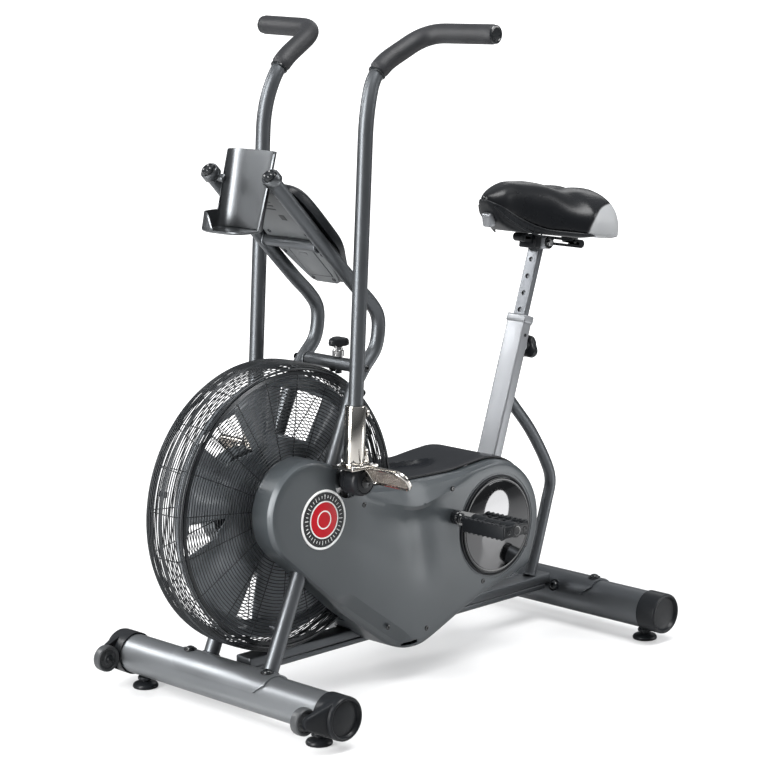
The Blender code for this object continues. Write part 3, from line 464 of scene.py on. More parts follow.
def hex_bolt(centre, axis, radius=0.0065, height=0.0045, washer=True):
    """Hexagon head with a chamfered crown, on a washer."""
    bm = bmesh.new()
    rings = []
    for r, h in ((radius, 0.0), (radius, height * 0.8), (radius * 0.86, height)):
        ring = []
        for i in range(6):
            a = math.pi / 3 * i
            ring.append(bm.verts.new((r * math.cos(a), r * math.sin(a), h)))
        rings.append(ring)
    bridge(bm, rings[0], rings[1])
    bridge(bm, rings[1], rings[2])
    bm.faces.new(rings[0])
    bm.faces.new(rings[2])
    turn = Z.rotation_difference(Vector(axis)).to_matrix().to_4x4()
    bmesh.ops.transform(bm, matrix=Matrix.Translation(Vector(centre)) @ turn, verts=bm.verts)
    if not washer:
        return bm
    ring = [(radius * 1.45, 0.0), (radius * 1.45, 0.0009), (radius * 0.6, 0.0009), (radius * 0.6, 0.0)]
    return merge(bm, lathe(ring, Vector(centre) - Vector(axis) * 0.0003, axis, 28))


def button_bolt(centre, axis, radius=0.009, height=0.005, socket=True):
    """Domed head with a hexagon socket."""
    points = [(radius, 0.0)]
    for i in range(6):
        a = math.pi / 2 * (i + 1) / 7
        points.append((radius * math.cos(a) ** 0.7, height * math.sin(a)))
    inner = radius * 0.42
    points.append((inner, height * 0.97))
    if socket:
        points += [(inner * 0.95, height * 0.35), (0.0, height * 0.3)]
    else:
        points.append((0.0, height))
    return lathe(points, centre, axis, 30)


def cutter(name, bm):
    bmesh.ops.recalc_face_normals(bm, faces=bm.faces)
    mesh = bpy.data.meshes.new(name)
    bm.to_mesh(mesh)
    bm.free()
    obj = bpy.data.objects.new(name, mesh)
    bpy.context.scene.collection.objects.link(obj)
    return obj


def carve(obj, cutters):
    """Cuts the shapes out of the object for good, and removes them."""
    for k, tool in enumerate(cutters):
        step = obj.modifiers.new("cut %d" % k, "BOOLEAN")
        step.operation = "DIFFERENCE"
        step.solver = "EXACT"
        step.object = tool
    graph = bpy.context.evaluated_depsgraph_get()
    made = bpy.data.meshes.new_from_object(obj.evaluated_get(graph))
    obj.modifiers.clear()
    old, obj.data = obj.data, made
    bpy.data.meshes.remove(old)
    for tool in cutters:
        bpy.data.objects.remove(tool, do_unlink=True)


def smooth_by_angle(obj, degrees):
    mesh = obj.data
    bm = bmesh.new()
    bm.from_mesh(mesh)
    limit = math.radians(degrees)
    for face in bm.faces:
        face.smooth = True
    for edge in bm.edges:
        edge.smooth = not (len(edge.link_faces) == 2 and edge.calc_face_angle(0.0) > limit)
    bm.to_mesh(mesh)
    bm.free()


def weld_bead(centre, axis, radius, size=0.0022):
    """A rippled ring where a tube meets another piece."""
    path = []
    count = 72
    turn = Z.rotation_difference(Vector(axis)).to_matrix()
    radii = []
    for i in range(count):
        a = 2 * math.pi * i / count
        path.append(Vector(centre) + turn @ Vector((radius * math.cos(a), radius * math.sin(a), 0)))
        radii.append(size * (1.0 + 0.16 * math.sin(i * 2.1)))
    return tube(path, size, 8, closed=True, radii=radii)


def clean_node(name, look):
    """A CAD node that stays: only its material changes."""
    node = frame["nodes"][name]
    node.data.materials.clear()
    node.data.materials.append(look)


def superellipse(a, b, power, count):
    made = []
    for i in range(count):
        t = 2 * math.pi * i / count
        c, s = math.cos(t), math.sin(t)
        made.append((a * math.copysign(abs(c) ** (2 / power), c), b * math.copysign(abs(s) ** (2 / power), s)))
    return made


# ---------------------------------------------------------------- feet and stabilizers

def ease(x, low, high):
    t = min(1.0, max(0.0, (x - low) / (high - low)))
    return t * t * (3 - 2 * t)


def curved_plate(x, half, reach, trim):
    """A sheet bent over the stabilizer, its corners cut off."""
    bm = bmesh.new()
    across, along = 24, 40
    skins = []
    for radius in (STAB_R + 0.0009, STAB_R + 0.0037):
        grid = []
        for j in range(along + 1):
            y = -half + 2 * half * j / along
            cut = max(0.0, abs(y) - (half - trim)) / trim
            span = math.radians(reach - 26 * cut)
            row = []
            for i in range(across + 1):
                a = math.pi / 2 + span * (2 * i / across - 1)
                row.append(bm.verts.new((x + radius * math.cos(a), y, STAB_Z + radius * math.sin(a))))
            grid.append(row)
        skins.append(grid)
    sheet(bm, *skins)
    return bm


def stabilizer(name, x, look, half, bolts):
    end = TUBE_HALF[name]
    shell = [(STAB_R - 0.003, -end), (STAB_R, -end), (STAB_R, end), (STAB_R - 0.003, end)]
    piece(name + "_tube", lathe(shell, (x, 0, STAB_Z), Y, 96), look, "frame", (name + "_stabilizer",))
    piece(name + "_curved_plate", curved_plate(x, half, 72, 0.02), look, "frame", (name + "_saddle_plate",))
    heads = []
    for angle, y in bolts:
        a = math.radians(angle)
        out = spoke(a)
        spot = Vector((x, y, STAB_Z)) + out * (STAB_R + 0.0036)
        heads.append(lathe([(0.0125, 0), (0.0125, 0.0012), (0.006, 0.0014), (0.006, 0)], spot, out, 30))
        heads.append(button_bolt(spot + out * 0.001, out, 0.0092, 0.0058))
    piece(name + "_plate_bolts", merge(*heads), GLOSS_BLACK, "frame")


def hull(*rings):
    """Convex solid round some rings of points."""
    bm = bmesh.new()
    for ring in rings:
        for point in ring:
            bm.verts.new(point)
    made = bmesh.ops.convex_hull(bm, input=bm.verts)
    inner = [v for v in made["geom_interior"] + made["geom_unused"] if isinstance(v, bmesh.types.BMVert)]
    bmesh.ops.delete(bm, geom=list(set(inner)), context="VERTS")
    return bm


def circle(x, y, z, radius, steps=72):
    turn = 2 * math.pi / steps
    return [Vector((x + radius * math.cos(k * turn), y, z + radius * math.sin(k * turn))) for k in range(steps)]


def end_cap(where, label, side, x, wheel):
    half = TUBE_HALF[where]
    end = half + CAP_LENGTH
    cup = [(0.0, half + 0.003), (STAB_R - 0.001, half + 0.003), (STAB_R + 0.0006, half - 0.0125),
           (0.0404, half - 0.013), (0.0412, half - 0.012), (0.0412, end - 0.006), (0.0406, end - 0.0024),
           (0.0388, end - 0.0004), (0.0366, end), (0.0348, end - 0.001), (0.0335, end - 0.004),
           (0.0315, end - 0.0068), (0.024, end - 0.0085), (0.0, end - 0.009)]
    parts = [spun(cup, side, (x, 0, STAB_Z), 72)]
    if wheel:
        big = ((half + 0.0095, 0.0400), (half + 0.0235, 0.0408), (half + 0.0265, 0.0398), (half + 0.0275, 0.0375))
        tip = ((0.0112, 0.0128), (0.0122, 0.0137), (0.0185, 0.0137), (0.0198, 0.0128), (0.0202, 0.0112))
        rings = [circle(x, side * v, STAB_Z, r) for v, r in big]
        rings += [circle(WHEEL_HUB.x, side * (WHEEL_HUB.y + v), WHEEL_HUB.z, r) for v, r in tip]
        parts.append(hull(*rings))
    piece("%s_end_cap_%s" % (where, label), merge(*parts), BLACK, "frame",
          ("%s_cap_%s" % (where, label),), sharp=28)
    if wheel:
        transport_wheel(label, side)


def transport_wheel(label, side):
    hub = at_y(WHEEL_HUB, side * WHEEL_HUB.y)
    pin = [(0.0, -0.0152), (0.0052, -0.0152), (0.0076, -0.0142), (0.0082, -0.0125), (0.0082, -0.0108),
           (0.004, -0.0106), (0.004, 0.0128), (0.0, 0.0128)]
    piece("transport_axle_" + label, spun(pin, side, hub, 32), GLOSS_BLACK, "frame")
    tread = [(0.0047, -0.0092), (0.009, -0.0098), (0.0105, -0.0098), (0.0115, -0.007), (0.0175, -0.006),
             (0.0195, -0.0085), (0.0232, -0.0093), (0.025, -0.0074), (0.0255, -0.004), (0.0255, 0.004),
             (0.025, 0.0074), (0.0232, 0.0093), (0.0195, 0.0085), (0.0175, 0.006), (0.0115, 0.007),
             (0.0105, 0.0098), (0.009, 0.0098), (0.0047, 0.0092)]
    disc = lathe(tread, hub, Y, 56)
    spokes = []
    for k in range(5):
        a = 2 * math.pi * k / 5
        mid = hub + spoke(a) * 0.0145
        spokes.append(block((0.0085, 0.015, 0.0022), mid, Matrix.Rotation(-a, 3, "Y"), 0.0006, 1))
    piece("transport_roller_" + label, merge(disc, *spokes), ROLLER, "wheel_" + label,
          ("transport_wheel_" + label,))


def foot(where, label, side, x):
    rim = [(0.0, 0.0), (0.0225, 0.0), (0.0243, 0.0008), (0.025, 0.0028), (0.0247, 0.0055), (0.0228, 0.0085),
           (0.0185, 0.0105), (0.0115, 0.0122), (0.0085, 0.0125), (0.0085, 0.0155), (0.0, 0.0155)]
    base = (x, side * FOOT_Y, 0.0)
    body = "%s_foot_%s" % (where, label)
    pad = lathe(rim, base, Z, 48, lobes=lambda a: 1.0 - 0.012 * (0.5 + 0.5 * math.cos(24 * a)))
    collar = [(0.0, 0.0163), (0.0135, 0.0163), (0.0145, 0.0172), (0.0145, 0.0208), (0.0135, 0.0222), (0.0, 0.0222)]
    nut = lathe(collar, base, Z, 40)
    piece(body + "_pad", merge(pad, nut), BLACK, body, (body,))
    thread = []
    for k in range(17):
        z = 0.0125 + k * 0.0022
        thread += [(0.0044, z), (0.0052, z + 0.0011)]
    piece(body + "_stud", lathe([(0.0, 0.0125)] + thread + [(0.0, 0.0499)], base, Z, 20), STEEL, body)


stabilizer("front", STAB_FRONT_X, SILVER_GREY, 0.13, [(90, 0.108), (90, -0.108)])
stabilizer("rear", STAB_REAR_X, FRAME_GREY, 0.124, [(90, 0.108), (90, -0.108), (25, 0.03)])
for label, side in SIDES:
    end_cap("front", label, side, STAB_FRONT_X, True)
    end_cap("rear", label, side, STAB_REAR_X, False)
    foot("front", label, side, STAB_FRONT_X)
    foot("rear", label, side, STAB_REAR_X)


# ---------------------------------------------------------------- main frame

def main_frame():
    low, high = STAB_REAR_X + 0.0362, STAB_FRONT_X - 0.0362
    beam = block((high - low, 0.04, BEAM_TOP - BEAM_LOW), ((high + low) / 2, 0, (BEAM_TOP + BEAM_LOW) / 2), None,
                 0.0035, 4)
    piece("long_beam", beam, FRAME_GREY, "frame", ("base_beam",))
    keel = block((high - low - 0.03, 0.036, 0.0115), ((high + low) / 2, 0, BEAM_LOW - 0.0062), None, 0.0025, 3)
    piece("beam_keel", keel, FRAME_GREY, "frame")
    for label, side in SIDES:
        y = side * STAY_Y
        run = (STAY_TOP - STAY_FOOT).normalized()
        foot_end, top_end = at_y(stay_point(0.071), y), at_y(STAY_TOP, y)
        parts = [tube([foot_end, top_end], STAY_R, 48)]
        low_y, high_y = sorted((side * 0.0965, side * 0.1042))
        for spot in (PIVOT, FAN):
            parts.append(prism(capsule(flat(stay_point(spot.z)), flat(spot), 0.0142), low_y, high_y, 0.0008))
        for z in (0.165, 0.585):
            spot = at_y(stay_point(z), side * 0.061)
            parts.append(lathe(rounded_rod(0.006, -0.0092, 0.0092), spot, Y, 20))
        parts.append(weld_bead(at_y(stay_point(0.0935), y), run, 0.0152, 0.0024))
        piece("stay_tube_" + label, merge(*parts), FRAME_GREY, "frame", ("stay_" + label,))
    mast = block((0.025, 0.048, 0.572), MAST_MOUTH - MAST_UP * 0.286, MAST_TURN, 0.004, 4)
    piece("mast_tube", mast, MAST_PAINT, "frame", ("seat_mast",))
    collar = block((0.0282, 0.0512, 0.0165), MAST_MOUTH - MAST_UP * 0.0028, MAST_TURN, 0.003, 3)
    collar = piece("mast_collar", collar, MAST_PAINT, "frame", sharp=0)
    carve(collar, [cutter("bore", block((0.0154, 0.0326, 0.04), MAST_MOUTH, MAST_TURN, 0.002, 2))])
    smooth_by_angle(collar, 30)
    bits = [lathe([(0.0, 0.0), (0.0036, 0.0), (0.0036, 0.0006), (0.0, 0.0008)],
                  MAST_MOUTH - MAST_UP * 0.035 + Y * side * 0.024, Y * side, 20) for side in (1, -1)]
    piece("mast_side_screws", merge(*bits), BLACK, "frame")
    sleeve = [(0.0145, 0.0), (0.0145, 0.011), (0.0125, 0.0125), (0.006, 0.0125)]
    sleeve = lathe(sleeve, PIN_BASE + MAST_REAR * 0.0123, MAST_REAR, 36, close=False)
    piece("pin_sleeve", sleeve, MAST_PAINT, "frame")
    path = [(-0.3515, 0, 0.4915), (-0.3675, 0, 0.473), (-0.4195, 0, 0.413), (-0.4655, 0, 0.342), (-0.4815, 0, 0.297),
            (-0.4695, 0, 0.252), (-0.4505, 0, 0.195), (-0.4295, 0, 0.134), (-0.4185, 0, 0.1045)]
    brace = [tube(smooth_path(path, 60), 0.012, 36)]
    brace.append(weld_bead(Vector((-0.4185, 0, 0.1055)), Vector((-0.33, 0, 0.94)), 0.0128, 0.0022))
    piece("brace", merge(*brace), FRAME_GREY, "frame", ("brace_tube",))


def smooth_path(points, count):
    """Catmull-Rom curve through points, evenly resampled."""
    pts = [Vector(p) for p in points]
    pts = [pts[0] * 2 - pts[1]] + pts + [pts[-1] * 2 - pts[-2]]
    fine = []
    for a, b, c, d in zip(pts, pts[1:], pts[2:], pts[3:]):
        for k in range(20):
            t = k / 20
            fine.append(0.5 * ((2 * b) + (c - a) * t + (2 * a - 5 * b + 4 * c - d) * t * t
                               + (3 * b - a - 3 * c + d) * t ** 3))
    fine.append(pts[-2])
    return resample(fine, count)


def resample(path, count, closed=False):
    pts = np.array([tuple(p) for p in path], float)
    if closed:
        pts = np.vstack([pts, pts[:1]])
    steps = np.linalg.norm(np.diff(pts, axis=0), axis=1)
    run = np.concatenate([[0.0], np.cumsum(steps)])
    want = np.linspace(0.0, run[-1], count + 1 if closed else count)
    if closed:
        want = want[:-1]
    made = np.stack([np.interp(want, run, pts[:, k]) for k in range(pts.shape[1])], axis=1)
    return [Vector(p) for p in made]


main_frame()


# ---------------------------------------------------------------- console fork

def fork_turn():
    run = (FORK_KNEE - FORK_END).normalized()
    return run, Vector((run.z, 0, -run.x))


RUN, ABOVE = fork_turn()
FORK_TURN = Matrix((RUN, Y, ABOVE)).transposed()


def on_fork(along, y, up):
    return FORK_END + RUN * along + ABOVE * up + Y * y


def console_fork():
    points = [(0.1605, 0.6025), (0.1365, 0.632), (0.1085, 0.662), (0.0985, 0.697), (0.1015, 0.727), (0.1225, 0.755),
              (0.1615, 0.792), (0.2415, 0.8745), (0.2935, 0.9293), (0.3645, 1.0041)]
    parts = []
    for side in (1, -1):
        path = smooth_path([(x, side * STAY_Y, z) for x, z in points], 90)
        parts.append(tube(path, FORK_R, 36))
        joint = at_y(STAY_TOP, side * STAY_Y) + Vector((0.001, 0, -0.002))
        parts.append(weld_bead(joint, STAY_TOP - STAY_FOOT, 0.0142, 0.0024))
    for x, z, r in ((0.1385, 0.63, 0.0125), (0.2385, 0.868, 0.0105)):
        half = STAY_Y - 0.0105
        parts.append(lathe(rounded_rod(r, -half, half, 0.0005), (x, 0, z), Y, 36))
        for side in (1, -1):
            parts.append(weld_bead((x, side * (half - 0.002), z), Y, r + 0.0006, 0.002))
    piece("fork_tubes", merge(*parts), FRAME_GREY, "frame", ("console_fork",))
    bits = []
    for side in (1, -1):
        cap = [(0.0, 0.004), (0.0045, 0.0042), (0.0062, 0.0022), (0.0085, 0.0022), (0.0105, 0.0042), (0.0126, 0.0038),
               (0.0132, 0.0022), (0.0132, -0.006), (0.0, -0.006)]
        bits.append(lathe(cap, at_y(FORK_END, side * STAY_Y) - RUN * 0.0035, -RUN, 40))
        bits.append(button_bolt(Vector((0.1435, side * (STAY_Y + 0.0128), 0.631)), Y * side, 0.0068, 0.004))
        bits.append(button_bolt(Vector((0.155, side * (STAY_Y + 0.0143), 0.586)), Y * side, 0.0068, 0.004))
    bits.append(hex_bolt((0.1385, 0.0, 0.6172), -Z, 0.0058, 0.004))
    piece("fork_caps_and_bolts", merge(*bits), GLOSS_BLACK, "frame")


def shell_section(s):
    """Half width and crown of the console's upper shell at a distance down the fork."""
    start, end = 0.05, 0.318
    t = (s - start) / (end - start)
    close = math.sqrt(max(0.0, 1 - abs(2 * t - 1) ** 7))
    width = (0.0905 + 0.005 * math.sin(math.pi * min(1.0, t * 1.3))) * (0.75 + 0.25 * close)
    width *= 1 - 0.48 * ease(s, 0.2, 0.315)
    crown = 0.0150 + (0.0258 - 0.004 * t) * close
    return width, crown


def console():
    bm = bmesh.new()
    rings = []
    stations = 44
    for k in range(stations + 1):
        t = k / stations
        s = 0.05 + 0.268 * (0.5 - 0.5 * math.cos(math.pi * t))
        width, crown = shell_section(s)
        ring = []
        outline = [(-width, 0.0148), (-width, crown * 0.55 + 0.0065)]
        for i in range(25):
            u = -1 + 2 * i / 24
            rise = (1 - abs(u) ** 5) ** 0.5
            outline.append((u * width * 0.985, crown * 0.62 + 0.0065 + (crown * 0.38 - 0.0040) * rise))
        outline += [(width, crown * 0.55 + 0.0065), (width, 0.0148)]
        for y, up in outline:
            ring.append(bm.verts.new(on_fork(s, y, up)))
        rings.append(ring)
    skin(bm, rings, caps=True)
    piece("console_shell", bm, BLACK, "frame", ("console_housing",), sharp=40)
    panel = bmesh.new()
    loops = []
    corners = [(0.052, 0.0665), (0.2, 0.0665), (0.216, 0.062), (0.29, 0.043), (0.304, 0.037), (0.309, 0.028)]
    rim = corners + [(a, -b) for a, b in reversed(corners)]
    for up, shrink in ((0.016, 0.0), (0.0045, 0.0), (0.0028, 0.0008), (0.0022, 0.0025)):
        loops.append([panel.verts.new(on_fork(a + (shrink if a < 0.1 else -shrink), b - math.copysign(shrink, b), up))
                      for a, b in rim])
    skin(panel, loops, caps=True)
    end_roll = lathe(rounded_rod(0.0105, -0.036, 0.036, 0.004), on_fork(0.3, 0, 0.0142), Y, 36)
    piece("console_underside", merge(panel, end_roll), PANEL_GREY, "frame")
    dark = []
    for along in (0.078, 0.088, 0.098):
        dark.append(block((0.0032, 0.05, 0.0014), on_fork(along, -0.005, 0.0024), FORK_TURN, 0.0005, 1))
    screw = [(0.0, 0.0), (0.0042, 0.0), (0.0042, 0.0008), (0.0026, 0.0009), (0.0022, 0.0002), (0.0, 0.0)]
    for along, y in ((0.066, 0.052), (0.165, 0.05), (0.222, 0.05), (0.296, 0.028)):
        for side in (1, -1):
            dark.append(lathe(screw, on_fork(along, side * y, 0.0023), -ABOVE, 24))
    dark.append(block((0.014, 0.014, 0.0012), on_fork(0.12, 0.022, 0.0023), FORK_TURN, 0.0004, 1))
    for along in (0.2115, 0.2875):
        dark.append(block((0.0012, 0.066, 0.0012), on_fork(along, 0, 0.0024), FORK_TURN, 0.0003, 1))
    for y in (-0.033, 0.033):
        dark.append(block((0.076, 0.0012, 0.0012), on_fork(0.2495, y, 0.0024), FORK_TURN, 0.0003, 1))
    piece("console_screws_and_slots", merge(*dark), BLACK, "frame")
    door = [block((0.0735, 0.0635, 0.0016), on_fork(0.2495, 0, 0.0022), FORK_TURN, 0.0006, 2),
            block((0.006, 0.02, 0.0016), on_fork(0.222, 0, 0.0014), FORK_TURN, 0.0005, 2)]
    piece("battery_door", merge(*door), PANEL_GREY, "frame")
    window = block((0.066, 0.115, 0.0022), on_fork(0.112, 0, 0.0402), FORK_TURN, 0.0008, 2)
    piece("display_window", window, SCREEN, "frame", ("console_screen",))
    loop = []
    for a, b in superellipse(0.0375, 0.0615, 7, 72):
        loop.append(on_fork(0.112 + a, b, 0.0398))
    keys = [tube(loop, 0.0022, 10, closed=True)]
    for y in (-0.05, 0.05):
        keys.append(block((0.013, 0.02, 0.003), on_fork(0.198, y, 0.0368), FORK_TURN, 0.001, 2))
    piece("display_bezel", merge(*keys), GLOSS_BLACK, "frame")
    digits = []
    for k in range(4):
        for along, y, size in ((-0.008, 0, (0.0014, 0.006)), (0.0, 0, (0.0014, 0.006)), (0.008, 0, (0.0014, 0.006)),
                               (-0.004, 0.0042, (0.006, 0.0013)), (0.004, -0.0042, (0.006, 0.0013))):
            spot = on_fork(0.112 + along, -0.034 + 0.02 * k + y, 0.04135)
            digits.append(block((size[0], size[1], 0.0003), spot, FORK_TURN, 0.0001, 1))
    piece("display_segments", merge(*digits), BLACK, "frame")
    key = block((0.0192, 0.0292, 0.0056), on_fork(0.205, 0, 0.0425), FORK_TURN, 0.0022, 4)
    piece("console_key", key, RUBBER, "console_key", ("console_button",))
    socket = []
    for a, b in superellipse(0.0118, 0.0168, 5, 48):
        socket.append(on_fork(0.205 + a, b, 0.0375))
    piece("key_surround", tube(socket, 0.0016, 8, closed=True), GLOSS_BLACK, "frame")


def holder_height(angle):
    """Rim height of the bottle holder by direction: 0 is forward, -90 the rider's right."""
    back = ease(abs(angle), 100, 112)
    lip = 0.004 + 0.032 * ease(angle, -128, -96) * (1 - ease(angle, -38, -6))
    return lip * (1 - back) + 0.144 * back


def bottle_holder():
    bm = bmesh.new()
    columns = 120
    skins = []
    for inset in (0.0, 0.0026):
        grid = []
        for i in range(columns):
            degrees = -180 + 360 * i / columns
            a = math.radians(degrees)
            depth = 0.0435 if abs(degrees) < 90 else 0.03
            height = holder_height(degrees)
            column = []
            for j in range(17):
                if j < 5:
                    share = (0.1, 0.4, 0.7, 0.88, 0.965)[j]
                    lift = (0.0, 0.0, 0.0, 0.0004, 0.0022)[j] + inset
                else:
                    share = 1.0
                    lift = 0.0048 + (height - 0.0048) * (j - 5) / 11 if height > 0.005 else 0.0048 + 0.0001 * (j - 5)
                lean = math.tan(math.radians(13.5)) * lift
                square = (abs(math.cos(a)) ** 3.4 + abs(math.sin(a)) ** 3.4) ** (-1 / 3.4)
                x = 0.3815 + (depth * share - inset * (j >= 5)) * math.cos(a) * square - lean
                y = (0.0595 * (1 + 0.8 * max(0.0, lift - 0.02)) * share - inset * (j >= 5)) * math.sin(a) * square
                column.append(bm.verts.new((x, y, 0.9025 + lift)))
            grid.append(column)
        for i in range(columns):
            first, second = grid[i], grid[(i + 1) % columns]
            bridge(bm, first, second, loop=False)
        bm.faces.new([column[0] for column in grid])
        skins.append(grid)
    bridge(bm, [c[-1] for c in skins[0]], [c[-1] for c in skins[1]])
    ears = []
    ring = [(0.0136, -0.0135), (0.0165, -0.0138), (0.0174, -0.0125), (0.0174, 0.0012), (0.0165, 0.0026),
            (0.0136, 0.0022)]
    for side in (1, -1):
        ears.append(lathe(ring, at_y(FORK_END, side * STAY_Y), -RUN, 44))
        ears.append(block((0.014, 0.022, 0.012), (0.3525, side * 0.0655, 0.9935), Matrix.Rotation(0.8, 3, "Y"),
                          0.004, 3))
    piece("bottle_cradle", merge(bm, *ears), HOLDER, "frame", ("bottle_holder",), sharp=50)


def fork_knob():
    base = Vector((0.1385, 0.015, 0.63))
    three = lambda a: 1.0 + 0.17 * math.cos(3 * a)
    head = [(0.0, 0.0335), (0.012, 0.0335), (0.0175, 0.0355), (0.0185, 0.039), (0.0178, 0.0455), (0.0155, 0.0485),
            (0.0105, 0.0498), (0.0, 0.0495)]
    neck = [(0.0, 0.0135), (0.0105, 0.0135), (0.0115, 0.0145), (0.0115, 0.0245), (0.0095, 0.0262), (0.0075, 0.0335),
            (0.0, 0.0336)]
    tail = [(0.0, -0.019), (0.0062, -0.019), (0.0068, -0.018), (0.0068, -0.0142), (0.0, -0.0138)]
    stem = [(0.0, -0.0145), (0.0045, -0.0145), (0.0045, 0.0142), (0.0, 0.0142)]
    knob = merge(lathe(head, base, Z, 60, lobes=three), lathe(tail, base, Z, 6), lathe(stem, base, Z, 20))
    piece("fork_knob_grip", knob, BLACK, "fork_knob", ("console_knob",), sharp=38)
    piece("fork_knob_neck", lathe(neck, base, Z, 40), STEEL, "fork_knob")


console_fork()
console()
bottle_holder()
fork_knob()


# ---------------------------------------------------------------- fan

class Wires:
    """Many thin round wires in one mesh."""

    def __init__(self):
        self.points, self.faces, self.count = [], [], 0

    def add(self, points, u, v, radius, closed, sides=6):
        n = len(points)
        a = np.arange(sides) * 2 * math.pi / sides
        skin = points[:, None, :] + radius * (np.cos(a)[None, :, None] * u[:, None, :]
                                              + np.sin(a)[None, :, None] * v[:, None, :])
        self.points.append(skin.reshape(-1, 3))
        i = np.arange(n if closed else n - 1)[:, None]
        k = np.arange(sides)[None, :]
        j, m = (i + 1) % n, (k + 1) % sides
        quad = np.stack([i * sides + k, i * sides + m, j * sides + m, j * sides + k], axis=-1)
        self.faces.append(quad.reshape(-1, 4) + self.count)
        self.count += n * sides

    def ring(self, r, y, radius=0.00095, segments=160):
        a = np.arange(segments) * 2 * math.pi / segments
        out = np.stack([np.cos(a), np.zeros_like(a), np.sin(a)], axis=1)
        centre = np.array([FAN.x, y, FAN.z])
        self.add(centre + r * out, out, np.tile([0.0, 1.0, 0.0], (segments, 1)), radius, True)

    def meridian(self, profile, angle, radius=0.001):
        """A wire across the cage in the plane at an angle; profile is (radius, y)."""
        out = np.array([math.cos(angle), 0.0, math.sin(angle)])
        pts = np.array([[FAN.x, y, FAN.z] + r * out for r, y in profile])
        run = np.gradient(pts, axis=0)
        run /= np.linalg.norm(run, axis=1)[:, None]
        around = np.tile(np.cross(out, [0.0, 1.0, 0.0]), (len(pts), 1))
        self.add(pts, np.cross(run, around), around, radius, False)

    def bmesh(self):
        mesh = bpy.data.meshes.new("wires")
        mesh.from_pydata(np.vstack(self.points).tolist(), [], np.vstack(self.faces).tolist())
        bm = bmesh.new()
        bm.from_mesh(mesh)
        bpy.data.meshes.remove(mesh)
        return bm


def face_depth(r):
    return 0.0502 - 0.0025 * max(0.0, (r - 0.1) / 0.16) ** 2


def guard(label, side):
    wires = Wires()
    for k in range(24):
        r = 0.1035 + k * 0.00625
        wires.ring(r, side * face_depth(r))
    wires.ring(0.0965, side * 0.0498, 0.0018)
    wires.ring(0.2618, side * 0.0462, 0.0026)
    for r, y in ((0.2662, 0.0446), (0.2690, 0.0400), (0.2703, 0.0352), (0.2709, 0.0304), (0.2712, 0.0252),
                 (0.2714, 0.0205), (0.2716, 0.015), (0.2718, 0.0096), (0.2718, 0.0042)):
        wires.ring(r, side * y, 0.00115)
    wires.ring(0.2712, side * 0.0016, 0.0016)
    for k in range(20):
        a = 2 * math.pi * (k + 0.35) / 20
        inner = [(0.0965 + 0.0055 * i, side * (face_depth(0.0965 + 0.0055 * i) - 0.0019)) for i in range(28)]
        bend = [(0.2555, side * 0.0449), (0.2628, side * 0.0405), (0.2675, side * 0.034), (0.2692, side * 0.026),
                (0.2698, side * 0.014), (0.2699, side * 0.001)]
        wires.meridian(inner + bend, a)
    piece("guard_wires_" + label, wires.bmesh(), WIRE, "frame", ("guard_" + label,), sharp=0)
    band = []
    for k in range(7):
        r = 0.2502 + 0.00115 * k
        band.append((r, side * (face_depth(r) - 0.0002 - 0.0009 * (k % 2))))
    band += [(0.2575, side * 0.0455), (0.2502, side * 0.0462)]
    piece("guard_band_" + label, lathe(band, FAN, Y, 150), WIRE, "frame", sharp=20)


def guard_clips():
    clips = []
    for degrees in (14, 86, 158, 230, 302):
        out = spoke(math.radians(degrees))
        clips.append(block((0.0046, 0.018, 0.012), FAN + out * 0.2700, spoke_turn(out), 0.0012, 2))
        clips.append(block((0.0030, 0.004, 0.006), FAN + out * 0.2716, spoke_turn(out), 0.0008, 1))
    piece("guard_clips", merge(*clips), BLACK, "frame")


